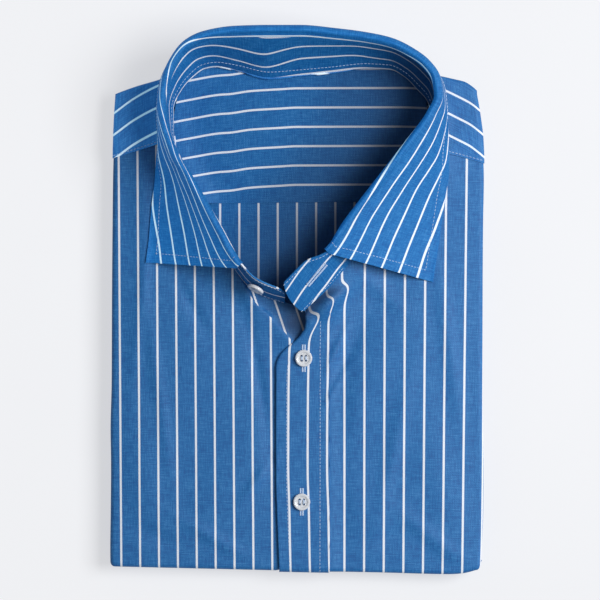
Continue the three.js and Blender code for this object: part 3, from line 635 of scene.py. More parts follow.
def buildBack():
    ys = np.linspace(backSize["top"], backSize["low"], 100)
    shares = np.linspace(0, 1, 90)
    sideIn = backSize["sideIn"]
    x = mix((foldLeft(ys) + sideIn)[:, None], (foldRight(ys) - sideIn)[:, None], shares[None, :])
    y = ys[:, None] + 0 * x
    y = np.maximum(y, foldBottom(x) + backSize["lowIn"])
    rise = 0.25 * (1 + ripple(x, y, 60, 4.0)) * smooth(69, 55, y) * smooth(90, 60, np.abs(x))
    points = np.stack([x, y, backZ + 0.35 * rise], axis=-1)
    stripes = np.stack([x - backSize["stripeX"], y], axis=-1) / pitches["back"]
    clothSheet("backCloth", points, stripes, shirt["cloth"], turned=True, shade=insideShade(x, y))


# how far the inner yoke's stripes bow off a straight line
yokeBow = through([
    (-90, -12), (-69, -7.5), (-50, -4.2), (-43, -3.7), (-30, -1.8), (-11, -0.6), (0, 0), (66, 0.2), (90, -1),
])


yokeInsideSize = {
    "left": -79.4,
    "right": 85,
    "lowY": 64.6,  # of its hem, which leans a little
    "lean": 0.012,
    "stripeY": 75.9,  # one of its stripes
}


def buildYokeInside():
    xs = np.linspace(yokeInsideSize["left"], yokeInsideSize["right"], 122)
    shares = np.linspace(0, 1, 70) ** 1.3
    under = np.maximum(3.5 * smooth(-76.5, -79.2, xs), 6 * smooth(82, 83.2, xs))
    top = neckY(xs) + 0.3 - under
    low = yokeInsideSize["lowY"] + xs * yokeInsideSize["lean"]
    y = mix(top[None, :], low[None, :], shares[:, None])
    x = xs[None, :] + 0 * y
    base = backZ + shirt["cloth"] + shirt["seat"] + (frontZ - backZ - shirt["cloth"]) * smooth(66, 90, y)
    away, seamZ = neckSeam(x, y, 4, 24)
    rise = (seamZ - shirt["gap"] - base - 0.6) * np.exp(-((away / 9) ** 2))
    soft = 0.5 * (1 + ripple(x, y, 70, 1.0)) * smooth(0, 10, y - low[None, :]) * smooth(0, 12, away)
    points = np.stack([x, y, base + np.maximum(0, rise) + 0.8 * soft], axis=-1)
    stripes = np.stack([y - yokeInsideSize["stripeY"] - yokeBow(x), x], axis=-1) / pitches["yokeInside"]
    clothSheet("yokeInsideCloth", points, stripes, shirt["cloth"], turned=True, shade=insideShade(x, y))


# how the stripes slope over each shoulder, and where they lie at x -117 and x 95
leftSlope = through([(-121, -2.4), (-117.2, 0), (-105.1, 8.8), (-90, 17), (-60, 29)])
rightSlope = through([(70, 9), (95, 0), (104, -4.3), (111, -8), (117, -12.5), (121, -15.6)])
leftStripeAt = through([(62, -4), (92.7, -2), (108.2, -1), (122, 0), (150, 2.1)])
rightStripeAt = through([(66.9, -5), (94.6, -3), (108.5, -2), (122.4, -1), (136.2, 0), (164, 2)])


def yokeStripes(x, y):
    return mix(leftStripeAt(y - leftSlope(x)), rightStripeAt(y - rightSlope(x)), smooth(-60, 60, x))


yokeSize = {
    "endX": 117.8,
    "shoulderX": 90,  # from here out its columns follow the side folds
    "lowY": 75,  # where it ends underneath
    "stitchIn": 1.6,
}


# a column's x at a height up the yoke, so that its ends follow the side folds
def alongSide(x, y):
    shoulderX = yokeSize["shoulderX"]
    if abs(x) < shoulderX:
        return x
    fold = -float(foldLeft(y)) if x < 0 else float(foldRight(y))
    return math.copysign(mix(shoulderX, fold, (abs(x) - shoulderX) / (yokeSize["endX"] - shoulderX)), x)


def buildYokeOuter():
    endX, lowY = yokeSize["endX"], yokeSize["lowY"]
    columns = np.concatenate([
        np.linspace(-endX, -79.9, 34), np.linspace(-79.4, 87, 100), np.linspace(87.6, endX, 30),
    ])
    topShares = np.concatenate([np.linspace(0, 0.9, 26), np.linspace(0.92, 1, 6)])
    turnAngles = np.linspace(0.15, math.pi, 14)
    lowShares = np.linspace(0.08, 1, 14)
    low = shirt["stackTop"] + shirt["gap"]
    sections, maps = [], []
    for x in columns:
        drop = 1.7 * float(smooth(115.6, 118.2, abs(x + 0.4)))
        onFront = x < -79.6 or x > 87.3
        foldY = float(foldShoulder(alongSide(x, foldShoulder(x))))
        if onFront:
            seam, height = (seamLeft, leftHeight) if x < 0 else (seamRight, rightHeight)
            start = float(seam(x))
            startZ = float(height(x, start)) + shirt["cloth"] + shirt["seat"]
        else:
            start = float(neckY(x)) + 0.4
            startZ = float(neckZ(x)) - shirt["gap"] - 0.25
        radius = (yokeTop - drop - low) / 2
        endY = foldY - radius
        section, flat = [], []
        for s in topShares:
            y = mix(start, endY, s)
            near = float(raised(x, y, yokeTop, 4, 24, 9)) - 0.15 if onFront else startZ
            z = mix(max(near, yokeTop), yokeTop, float(smooth(0.55, 1, s)))
            if onFront:
                z = mix(startZ, z, float(smooth(0, 7, y - start)))
            section.append((alongSide(x, y), y, z - drop))
            flat.append(y)
        turnX = alongSide(x, endY)
        for angle in turnAngles:
            section.append((turnX, endY + radius * math.sin(angle), low + radius + radius * math.cos(angle)))
            flat.append(endY + radius * angle)
        for s in lowShares:
            section.append((turnX * mix(1, 0.955, float(smooth(0, 0.5, s))), mix(endY, lowY, s), low))
            flat.append(endY + radius * math.pi + (endY - lowY) * s)
        sections.append(section)
        maps.append([
            (float(yokeStripes(point[0], y)), x / pitches["yokeOuter"]) for point, y in zip(section, flat)
        ])
    points = np.array(sections).transpose(1, 0, 2)
    clothSheet("yokeOuterCloth", points, np.array(maps).transpose(1, 0, 2), shirt["cloth"])
    normals = gridNormals(points)
    normals *= np.where(normals[..., 2:3] < 0, -1, 1)
    top, inset = len(topShares), yokeSize["stitchIn"]
    for part in (slice(0, 30), slice(len(columns) - 27, len(columns))):
        path = insetPath(points[:top, part], normals[:top, part], "firstRow", inset, 0.06, 1.5, 1.5)
        stitchPaths.append((path, "topstitch"))


buildBack()
buildYokeInside()
buildYokeOuter()
print("back and yoke ready")

# Collar
collar = {
    "rollRadius": 3.2,
    "bandTop": 0.9,
    "stationStep": 0.08,
    "bandStitch": 6.5,
    "edgeStitch": 6.2,
    "endStitch": 1.8,
    "settle": 1.2,
    "wave": 0.25,  # of the leaves' edges, up and down
    "bandShade": 0.55,  # in the fold inside the collar's right side
    "tabLow": 2.6,  # how far the buttonhole end spreads past its seam and its top
    "tabHigh": 2.4,
    "tabTip": 4.2,
}
columnsOf = [
    through([(i, row[k]) for i, row in enumerate(collarRows) if row[k] is not None]) for k in range(10)
]
# which stripe lies where on the fall: at each station, the stripe at these shares of the way
# from the roll's crest to the leaf's edge
fallShares = [-0.06, 0, 0.06, 0.13, 0.2, 0.3, 0.42, 0.56, 0.72, 0.86, 1]
fallRows = [
    (2, 0.33, 0.85, 1.26, 1.72, 2.22, 3, 3.93, 5.01, 6.11, 7.05, 7.78),
    (2.7, -0.07, 0.42, 0.92, 1.5, 2.14, 3.14, 4.19, 5.12, 6.06, 6.92, 7.6),
    (3.4, 0.06, 0.57, 1.05, 1.59, 2.24, 3.36, 4.42, 5.19, 5.99, 6.7, 7.33),
    (4.2, 0.25, 0.85, 1.44, 1.99, 2.51, 3.5, 4.51, 5.2, 5.89, 6.44, 7.04),
    (5, 0.44, 1.3, 2.04, 2.46, 2.71, 3.24, 4.4, 5.19, 5.82, 6.3, 6.89),
    (5.8, 1.13, 1.93, 2.51, 2.91, 3.18, 3.8, 4.61, 5.29, 5.9, 6.32, 6.81),
    (6.6, 1.87, 2.42, 2.87, 3.25, 3.55, 3.97, 4.53, 5.08, 5.75, 6.23, 6.72),
    (7.5, 1.59, 2.11, 2.55, 2.97, 3.29, 3.69, 4.18, 4.77, 5.44, 5.99, 6.52),
    (9, 0.84, 1.21, 1.57, 1.99, 2.39, 2.94, 3.55, 4.21, 4.93, 5.52, 6.1),
    (10, 0.55, 0.84, 1.14, 1.56, 1.99, 2.57, 3.22, 3.91, 4.63, 5.23, 5.82),
    (11, 0.67, 0.96, 1.26, 1.61, 1.97, 2.49, 3.08, 3.72, 4.41, 4.99, 5.57),
    (12, 0.98, 1.27, 1.55, 1.86, 2.16, 2.58, 3.08, 3.64, 4.27, 4.81, 5.36),
    (13, 1.26, 1.56, 1.81, 2.07, 2.32, 2.68, 3.11, 3.62, 4.19, 4.69, 5.21),
    (18, 1.22, 1.45, 1.68, 1.94, 2.2, 2.56, 3, 3.52, 4.1, 4.62, 5.15),
    (20, 1.11, 1.33, 1.56, 1.84, 2.12, 2.52, 3, 3.56, 4.19, 4.73, 5.29),
    (21.5, 1.24, 1.46, 1.67, 1.87, 2.04, 2.34, 2.75, 3.25, 3.84, 4.42, 5.08),
    (22.5, 1.31, 1.54, 1.75, 1.93, 2.04, 2.24, 2.57, 2.99, 3.52, 4.16, 4.94),
    (23.5, 1.18, 1.38, 1.56, 1.75, 1.93, 2.23, 2.66, 3.14, 3.75, 4.42, 5.19),
    (24.3, 1, 1.19, 1.39, 1.64, 1.9, 2.36, 3, 3.69, 4.39, 5.06, 5.66),
    (25, 0.75, 1, 1.26, 1.6, 1.96, 2.56, 3.27, 4.05, 4.76, 5.4, 5.99),
    (25.7, 0.49, 0.76, 1.05, 1.48, 1.98, 2.7, 3.42, 4.15, 4.97, 5.67, 6.28),
    (26.4, 0.25, 0.51, 0.82, 1.27, 1.82, 2.57, 3.37, 4.24, 5.13, 5.92, 6.54),
    (27, 0.13, 0.42, 0.74, 1.19, 1.69, 2.43, 3.29, 4.24, 5.21, 6.02, 6.68),
]
# how far the band's stripes are off a whole number at its seam, at its top and between
bandLow = through([
    (0, 0.1), (0.5, 0.1), (1, 0), (2, -0.05), (3, -0.04), (10, -0.04), (12, -0.1), (17.5, -0.1),
    (19, -0.04), (25, -0.04), (26, -0.3), (27, -0.4), (28, -0.22), (29, 0.2),
])
bandHigh = through([
    (0, 0.14), (0.2, 0.19), (0.4, 0.25), (0.6, 0.18), (0.8, 0.1), (1, 0.03), (1.3, -0.03), (1.6, 0.05),
    (2, 0.09), (2.5, 0.03), (4, -0.07), (6, -0.1), (9, -0.4), (11, -0.4), (12, -0.2), (13, -0.07),
    (18, -0.07), (20, 0), (25, 0), (26, -0.3), (27, -0.4), (28, -0.22), (29, 0.2),
])
bandWave = through([
    (0, 0), (11, 0), (11.8, -0.02), (13.7, 0.3), (15.2, -0.3), (16.2, -0.3), (17.6, 0), (29, 0),
])


# the seam, roll and edge at places along the collar, and how steeply the leaf falls there
def station(u):
    seam, roll, edge = (np.stack([columnsOf[first + k](u) for k in range(3)], axis=-1) for first in (0, 3, 6))
    return seam, roll, edge, columnsOf[9](u)


# level, away from the neck
def outward(u):
    a = station(np.maximum(0, u - 0.2))[1]
    b = station(np.minimum(lastStation, u + 0.2))[1]
    out = np.stack([-(b - a)[..., 1], (b - a)[..., 0], 0 * u], axis=-1)
    return out / np.linalg.norm(out, axis=-1, keepdims=True)


# the roll closes up toward its end over the buttonhole
def rollEnd(u):
    return 1 - 0.7 * smooth(26.2, 27, u)


def bandBulge(u):
    return mix(0.5, -1, smooth(22, 25.5, u))


def bandPoint(u, share, tucked):
    seam, roll, _, _ = station(u)
    seam = seam - np.array([0, 0, 0.1])
    out = outward(u)
    top = roll - out * (0.75 * collar["rollRadius"] * tucked)[..., None]
    top = top - np.stack([0 * u, 0 * u, 0.8 * collar["rollRadius"] * tucked], axis=-1)
    bulge = bandBulge(u) * 4 * share * (1 - share)
    point = seam + (top - seam) * share[..., None] + out * bulge[..., None]
    # the buttonhole end spreads, and its tip is round
    spread = smooth(26.9, 28, u) * mix(collar["tabLow"], -collar["tabHigh"], share)
    tip = collar["tabTip"] * smooth(28.1, 29, u) * np.sqrt(np.clip(1 - (2 * share - 1) ** 2, 0, 1))
    point[..., 0] += 0.677 * spread - 0.72 * tip
    point[..., 1] -= 0.736 * spread + 0.69 * tip
    return point


def bandGrid(us, shares):
    inFall = smooth(1.2, 2, us) * (1 - smooth(27, 27.8, us))
    corner = 1 - 0.1 * (1 - smooth(0, 0.4, us))
    top = mix(corner * 0.97, collar["bandTop"], inFall)
    share = shares[:, None] * top[None, :]
    u = us[None, :] + 0 * share
    return bandPoint(u, share, (inFall * rollEnd(us))[None, :] + 0 * share)


def buildBand():
    us = np.linspace(0, lastStation, int(lastStation / collar["stationStep"]) + 1)
    points = bandGrid(us, np.linspace(0, 1, 22))
    up = arcLength(points, 0)
    along = arcLength(points, 1)
    share = up / up[-1]
    phase = mix(bandLow(us), bandHigh(us), share) + bandWave(us) * 4 * share * (1 - share)
    stripes = np.stack([up / pitches["collar"] + phase, along[10:11] / pitches["collar"] + 0 * up], axis=-1)
    shade = collar["bandShade"] * smooth(16.5, 20, us) * (1 - smooth(24, 25.5, us))
    clothSheet("bandCloth", points, stripes, shirt["collarCloth"], shade=shade[None, :] + 0 * up)
    normals = gridNormals(points)
    # the line of stitches inside, up from the neck seam
    path = insetPath(points, normals, "firstRow", collar["bandStitch"], 0.05, 30, 30)
    stitchPaths.append((path, "topstitch"))
    outer = points - normals * shirt["collarCloth"]
    for side in ("firstRow", "lastRow"):
        for part in (slice(0, 26), slice(len(us) - 26, len(us))):
            path = insetPath(outer[:, part], -normals[:, part], side, collar["endStitch"], 0.05, 1.5, 0)
            stitchPaths.append((path, "topstitch"))
    return us, outer


# smooth points through a run of points: the run is (count, columns, 3)
def throughPoints(run, steps):
    rows = [run[0]]
    last = len(run) - 1
    for i in range(last):
        before, a, b, after = run[max(i - 1, 0)], run[i], run[i + 1], run[min(i + 2, last)]
        for t in np.linspace(0, 1, steps + 1)[1:]:
            rows.append(0.5 * (
                2 * a + (b - before) * t + (2 * before - 5 * a + 4 * b - after) * t * t
                + (3 * a - before - 3 * b + after) * t * t * t
            ))
    return np.array(rows)


# the fall's section at each station: up inside from the band, over the roll and down to the leaf's edge
def fallRun(us):
    _, roll, edge, steep = station(us)
    out = outward(us)
    radius = collar["rollRadius"]
    upward = np.array([0, 0, 1.0])
    start = bandPoint(us, np.full(us.shape, collar["bandTop"] + 0.015), rollEnd(us))
    inside = roll - out * radius * 0.75 * rollEnd(us)[:, None] - upward * radius * 0.8
    outside = roll + out * radius * 0.95 - upward * radius * 0.95
    run = edge - outside
    fall = -run[:, 2]
    first = outside + run * mix(0.33, 0.08, steep)[:, None]
    first[:, 2] = outside[:, 2] - fall * mix(0.06, 0.62, steep)
    second = edge - run * mix(0.33, 0.5, steep)[:, None]
    second[:, 2] = edge[:, 2] + fall * mix(0.33, 0.04, steep)
    close = 1 - smooth(7, 24, np.hypot(run[:, 0], run[:, 1]))[:, None]
    hung = outside + out * 0.8
    hung[:, 2] = outside[:, 2] - fall * 0.35
    hungLow = edge.copy()
    hungLow[:, 2] = edge[:, 2] + fall * 0.3
    first = mix(first, hung, close)
    second = mix(second, hungLow, close)
    points = [
        start, mix(start, inside, 0.55) - out * 0.1, inside, mix(inside, roll, 0.5) + upward * radius * 0.22,
        roll, mix(roll, outside, 0.5) + upward * radius * 0.22, outside,
    ]
    for t in (0.1, 0.2, 0.32, 0.44, 0.56, 0.68, 0.8, 0.9, 1):
        s = 1 - t
        points.append(s ** 3 * outside + 3 * t * s * s * first + 3 * t * t * s * second + t ** 3 * edge)
    return np.array(points)


def buildFall():
    steps = 4
    us = np.linspace(firstFall, lastFall, int((lastFall - firstFall) / collar["stationStep"]) + 1)
    points = throughPoints(fallRun(us), steps)
    crest = 4 * steps  # the row along the top of the roll
    # the leaves' edges settle on the fronts, with a slight wave so that they don't lie like card
    leaf = smooth(crest, len(points) - 1, np.arange(len(points)))[:, None]
    points[..., 2] += leaf * (collar["wave"] * np.sin(us * 2.1) - collar["settle"])[None, :]
    x, y = points[..., 0], points[..., 1]
    under = np.where(x < 0, leftHeight(x, y), rightHeight(x, y))
    yokeAbove = np.where(x < 0, y > seamLeft(x) - 3, y > seamRight(x) - 3)
    under = np.where(yokeAbove, np.maximum(under, yokeTop) + 0.3, under)
    rests = (np.arange(len(points)) > crest)[:, None] & (np.abs(x) > 40)
    # past the fold across the shoulders nothing lies under the fall
    past = smooth(-2.5, 1.5, y - foldShoulder(x))
    floor = under + shirt["collarCloth"] + 0.12 - 20 * past
    points[..., 2] = np.where(rests, np.maximum(points[..., 2], floor), points[..., 2])
    up = arcLength(points, 0)
    along = arcLength(points, 1)
    beyond = (up - up[crest]) / (up[-1] - up[crest])
    numbers = np.array([through(fallRows, k + 1)(us) for k in range(len(fallShares))])
    stripe = np.stack([
        through(list(zip(fallShares, numbers[:, j])))(beyond[:, j]) for j in range(len(us))
    ], axis=1)
    firstUp = up[crest] + fallShares[0] * (up[-1] - up[crest])
    stripe = np.where(up < firstUp, numbers[:1] + (up - firstUp) / pitches["collar"], stripe)
    stripes = np.stack([stripe, along[crest:crest + 1] / pitches["collar"] + 0 * up], axis=-1)
    clothSheet("fallCloth", points, stripes, shirt["collarCloth"], edge=0.5)
    normals = gridNormals(points)
    inset = collar["edgeStitch"]
    stitchPaths.append((insetPath(points, normals, "lastRow", inset, 0.06, inset, inset), "topstitch"))
    leafPoints, leafNormals = points[crest + 1:], normals[crest + 1:]
    for side in ("firstColumn", "lastColumn"):
        path = insetPath(leafPoints, leafNormals, side, inset, 0.06, 0, inset)
        stitchPaths.append((path, "topstitch"))


bandUs, bandOuter = buildBand()
buildFall()
print("collar ready")

# Turned-under layers
layers = {
    "count": 4,
    "depth": 2.1,  # of the grooves between layers
    "insets": [(1.4, 1.2, 2.2, 1.6), (0.5, 0.4, 1.2, 0.5), (1.1, 0, 2.4, 1.2), (0.2, 0.9, 1.4, 0.2)],
    "corner": 5,
    "step": 3.0,
    "rightTop": 130.5,  # y of the top corners, and of the top edge under the collar
    "leftTop": 131.5,
    "middleTop": 143.6,
    "ply": 0.31,  # how far the stripes move from one layer to the next, in pitches
}


# points round the stack: x, y and which way is out
def layerOutline():
    outline = []
    corner = layers["corner"]

    def arc(cx, cy, start, end):
        for k in range(9):
            a = mix(start, end, k / 8)
            outline.append((cx + corner * math.cos(a), cy + corner * math.sin(a), math.cos(a), math.sin(a)))

    for y in np.arange(-165, 124, layers["step"]):
        outline.append((float(foldRight(y)), y, 1, 0))
    arc(float(foldRight(125)) - corner, layers["rightTop"] - corner, 0, math.pi / 2)
    for x in np.arange(108, -109, -layers["step"]):
        shoulder = min(float(foldShoulder(x)), 146) - 0.4
        outline.append((x, mix(layers["middleTop"], shoulder, float(smooth(60, 76, abs(x)))), 0, 1))
    arc(float(foldLeft(125)) + corner, layers["leftTop"] - corner, math.pi / 2, math.pi)
    for y in np.arange(123, -164, -layers["step"]):
        outline.append((float(foldLeft(y)), y, -1, 0))
    arc(-120.3 + corner, float(foldBottom(-118)) + corner, math.pi, 1.5 * math.pi)
    for x in np.arange(-113, 113, layers["step"]):
        outline.append((x, float(foldBottom(x)), 0, -1))
    arc(119.6 - corner, float(foldBottom(118)) + corner, 1.5 * math.pi, 2 * math.pi)
    return np.array(outline)


def buildLayers():
    outline = layerOutline()
    x, y, nx, ny = outline.T
    height = shirt["stackTop"] / layers["count"]
    shares = np.array([0.0, 0.04, 0.12, 0.25, 0.5, 0.75, 0.88, 0.96])
    depths = np.array([1.0, 0.62, 0.3, 0.08, 0.0, 0.08, 0.3, 0.62])
    rings, maps = [], []
    for layer, inset in enumerate(layers["insets"]):
        sway = 0.5 * ripple(x, y, 90, layer * 1.9)
        for k, (share, depth) in enumerate(zip(shares, depths)):
            by = (
                inset[0] * np.maximum(0, -nx) + inset[1] * np.maximum(0, nx)
                + inset[2] * np.maximum(0, ny) + inset[3] * np.maximum(0, -ny)
                + depth * layers["depth"] + 0.5 + sway
            )
            z = (layer + share) * height
            lift = 0.35 * ripple(x, y, 60, 5 + layer) * (0 if layer == 0 and k < 4 else 1)
            rings.append(np.stack([x - nx * by, y - ny * by, np.full(x.shape, z) + lift], axis=-1))
            run = (share - 0.5) * height * 1.5
            stripes = np.stack([x + nx * run, y + ny * run], axis=-1) / pitches["layers"]
            maps.append(stripes + (layers["ply"] * layer, 0))
    top = rings[-1] - np.stack([nx, ny, 0 * nx], axis=-1)
    top[:, 2] = shirt["stackTop"]
    rings.append(top)
    maps.append(maps[-1])
    rings[0][:, 2] = 0
    flat = np.concatenate(maps)
    mesh = loftMesh("foldedLayers", [rings])
    addMap(mesh, "stripes", [flat[loop.vertex_index] for loop in mesh.loops])
    smoothShade(mesh)
    for endFace in (-1, -2):
        mesh.polygons[endFace].use_smooth = False
    pieces["foldedLayers"] = linkObject("foldedLayers", mesh)


buildLayers()
print("layers ready")

# Buttons
buttonSize = {
    "diameter": 11,
    "thick": 2.4,
    "well": 0.68,  # height of the face inside the rim, as a share of the thickness
    "hole": 0.85,
    "holeAt": 1.35,
    "segments": 56,
    "sink": 0.6,  # how far the front buttons are drawn down into the cloth
    "station": 1.07,  # the collar button's place along the band, and its share of the way up
    "up": 0.6,
    "shank": 0.7,  # how far it stands off, open as it is
    "lean": 0.3,  # and how far it tips outward
}
# from the back's rim round to the well, as shares of the button's radius and thickness
buttonProfile = [
    (0.55, 0), (0.86, 1 / 24), (0.95, 0.22), (1, 0.45), (0.995, 0.62), (0.965, 0.86), (0.9, 0.98), (0.82, 1),
    (0.73, 0.95), (0.66, 0.82), (0.6, 0.72), (0.5, buttonSize["well"]),
]
threadSize = {"radius": 0.24, "apart": 0.32, "rise": 0.55, "sink": 1.6}
frontButtons = [(4.2, -35.3), (2.9, -127.3)]


def turnedSolid(name, profile, segments):
    angles = [2 * math.pi * k / segments for k in range(segments)]
    rings = [[(radius * math.cos(a), radius * math.sin(a), z) for a in angles] for radius, z in profile]
    return linkObject(name, loftMesh(name, [rings]))


# the piece's modifiers become part of its mesh
def plainMesh(piece):
    depsgraph = bpy.context.evaluated_depsgraph_get()
    mesh = bpy.data.meshes.new_from_object(piece.evaluated_get(depsgraph))
    piece.modifiers.clear()
    piece.data = mesh


def placeAt(mesh, centre, normal):
    normal = np.array(normal, float) / np.linalg.norm(normal)
    side = np.cross([0, 1, 0], normal)
    side /= np.linalg.norm(side)
    up = np.cross(normal, side)
    turn = np.stack([side, up, normal], axis=1)
    for vertex in mesh.vertices:
        place = turn @ np.array(vertex.co) + np.array(centre) * mm
        vertex.co = place


def buildButton(name, centre, normal):
    r = buttonSize["diameter"] / 2
    thick = buttonSize["thick"]
    profile = [(r * across, thick * up) for across, up in buttonProfile]
    body = turnedSolid(name, profile, buttonSize["segments"])
    cutters = []
    for sx, sy in ((1, 1), (-1, 1), (-1, -1), (1, -1)):
        hole = turnedSolid("holeCutter", [(buttonSize["hole"], -1), (buttonSize["hole"], thick + 1)], 18)
        for vertex in hole.data.vertices:
            vertex.co.x += sx * buttonSize["holeAt"] * mm
            vertex.co.y += sy * buttonSize["holeAt"] * mm
        cut = body.modifiers.new("hole", "BOOLEAN")
        cut.operation = "DIFFERENCE"
        cut.solver = "EXACT"
        cut.object = hole
        cutters.append(hole)
    plainMesh(body)
    for hole in cutters:
        bpy.data.objects.remove(hole)
    for face in body.data.polygons:
        face.use_smooth = abs(face.normal.z) < 0.98
    placeAt(body.data, centre, normal)
    pieces[name] = body


# two pairs of thread runs, each pair across two of the button's holes
def buildThread(name, centre, normal):
    at = buttonSize["holeAt"]
    radius, apart = threadSize["radius"], threadSize["apart"]
    angles = [2 * math.pi * k / 8 for k in range(8)]
    lofts = []
    for x in (-at - apart, -at + apart, at - apart, at + apart):
        rings = []
        for t in np.linspace(0, 1, 13):
            z = buttonSize["thick"] * buttonSize["well"] + threadSize["rise"] * math.sin(math.pi * t) ** 0.5
            if t in (0, 1):
                z -= threadSize["sink"]
            y = mix(-at, at, t)
            rings.append([(x + radius * math.cos(a), y, z - radius * math.sin(a)) for a in angles])
        lofts.append(rings)
    mesh = loftMesh(name, lofts)
    smoothShade(mesh)
    placeAt(mesh, centre, normal)
    pieces[name] = linkObject(name, mesh)


def buildButtons():
    r = buttonSize["diameter"] / 2
    for i, (x, y) in enumerate(frontButtons):
        under = [rightHeight(x + dx, y + dy) for dx, dy in ((0, 0), (r, 0), (-r, 0), (0, r), (0, -r))]
        z = float(max(under)) + 2 * shirt["gap"] + shirt["cloth"] + 0.12 - buttonSize["sink"]
        buildButton(f"frontButton{i + 1}", (x, y, z), (0, 0, 1))
        buildThread(f"frontThread{i + 1}", (x, y, z), (0, 0, 1))
    u = np.array([buttonSize["station"]])
    seam, roll, _, _ = station(u)
    out = outward(u)[0]
    slope = (roll - seam)[0]
    normal = np.cross(np.array([-out[1], out[0], 0]), slope)
    normal /= np.linalg.norm(normal)
    if normal @ out < 0:
        normal = -normal
    normal = normal + buttonSize["lean"] * out
    normal /= np.linalg.norm(normal)
    off = shirt["collarCloth"] + shirt["gap"] + buttonSize["shank"]
    spot = bandPoint(u, np.array([buttonSize["up"]]), np.array([0.0]))[0] + normal * off
    spot[2] -= shirt["gap"]
    buildButton("collarStud", spot, normal)
    buildThread("collarThread", spot, normal)


buildButtons()
print("buttons ready")

# Stitching
stitchKinds = {
    "topstitch": {"pitch": 2.3, "length": 1.75, "radius": 0.17, "across": 0.0},
    "buttonhole": {"pitch": 0.36, "length": 1.2, "radius": 0.2, "across": 1.0},
}
holeSize = {"halfWidth": 0.75, "halfLength": 8.6, "bandFrom": (18.3, 24.6), "bandTo": (6.8, 11.3)}


def placketSpot(x, y):
    return np.array([x, y, float(rightHeight(x, y)) + placketSize["lift"] + shirt["seat"]])


# points on the band's outer face above a line from a to b
def bandLine(a, b, shift, count=40):
    run = np.array(b, float) - np.array(a, float)
    side = np.array([-run[1], run[0]]) / np.hypot(*run)
    flat = np.array(a, float) + np.linspace(0, 1, count)[:, None] * run + side * shift
    free = bandOuter[:, bandUs > 26.5].reshape(-1, 3)
    nearest = np.argmin(np.hypot(flat[:, :1] - free[None, :, 0], flat[:, 1:] - free[None, :, 1]), axis=1)
    steps = np.arange(count)
    height = np.polyval(np.polyfit(steps, free[nearest, 2], 2), steps)
    return np.column_stack([flat, height + 0.55])


def addButtonholes():
    for shift in (-holeSize["halfWidth"], holeSize["halfWidth"]):
        for x, y in frontButtons:
            run = np.linspace(-holeSize["halfLength"], holeSize["halfLength"], 40)
            stitchPaths.append((np.array([placketSpot(x + shift, y + t) for t in run]), "buttonhole"))
        stitchPaths.append((bandLine(holeSize["bandFrom"], holeSize["bandTo"], shift), "buttonhole"))


# an output of a node, with sums worked out by more nodes
class Wire:
    def __init__(self, tree, socket):
        self.tree = tree
        self.socket = socket

    def output(self, key):
        return Wire(self.tree, self.socket.node.outputs[key])

    def maths(self, operation, *others):
        values = dict(enumerate((self, *others)))
        return addNode(self.tree, "ShaderNodeMath", {"operation": operation}, values)

    def __add__(self, other):
        return self.maths("ADD", other)

    def __sub__(self, other):
        return self.maths("SUBTRACT", other)

    def __mul__(self, other):
        return self.maths("MULTIPLY", other)


def setInputs(node, values):
    for key, value in values.items():
        if isinstance(value, Wire):
            value.tree.links.new(value.socket, node.inputs[key])
        else:
            node.inputs[key].default_value = value


def addNode(tree, kind, settings=None, values=None, output=0):
    node = tree.nodes.new(kind)
    for key, value in (settings or {}).items():
        setattr(node, key, value)
    setInputs(node, values or {})
    return Wire(tree, node.outputs[output])


# beads of thread along each line of a mesh
def stitchTree(name):
    tree = bpy.data.node_groups.new(name, "GeometryNodeTree")
    face = tree.interface
    face.new_socket("Geometry", in_out="INPUT", socket_type="NodeSocketGeometry")
    inputs = {}
    for label in ("Pitch", "Length", "Radius", "Across"):
        inputs[label] = face.new_socket(label, in_out="INPUT", socket_type="NodeSocketFloat").identifier
    inputs["Thread"] = face.new_socket("Thread", in_out="INPUT", socket_type="NodeSocketMaterial").identifier
    face.new_socket("Geometry", in_out="OUTPUT", socket_type="NodeSocketGeometry")

    def add(kind, settings=None, values=None, output=0):
        return addNode(tree, kind, settings, values, output)

    start = add("NodeGroupInput")
    pitch, length, radius, across, thread = (start.output(key) for key in inputs)
    line = add("GeometryNodeMeshToCurve", values={"Mesh": start})
    spaced = add("GeometryNodeResampleCurve", {"mode": "LENGTH"}, {"Curve": line, "Length": pitch})
    bead = add("GeometryNodeMeshUVSphere", values={"Segments": 8, "Rings": 5, "Radius": 1.0})
    size = add("ShaderNodeCombineXYZ", values={0: radius, 1: radius, 2: length * 0.5})
    tangent = add("GeometryNodeInputTangent")
    level = add("ShaderNodeVectorMath", {"operation": "CROSS_PRODUCT"}, {0: tangent, 1: (0, 0, 1)})
    heading = add("ShaderNodeMix", {"data_type": "VECTOR"}, {0: across, 4: tangent, 5: level}, output=1)
    aimed = add("FunctionNodeAlignEulerToVector", {"axis": "Z"}, {"Vector": heading})
    beads = add("GeometryNodeInstanceOnPoints", values={
        "Points": spaced, "Instance": bead, "Rotation": aimed, "Scale": size})
    real = add("GeometryNodeRealizeInstances", values={0: beads})
    shaded = add("GeometryNodeSetShadeSmooth", values={"Geometry": real})
    dyed = add("GeometryNodeSetMaterial", values={"Geometry": shaded, "Material": thread})
    setInputs(tree.nodes.new("NodeGroupOutput"), {0: dyed})
    return tree, inputs


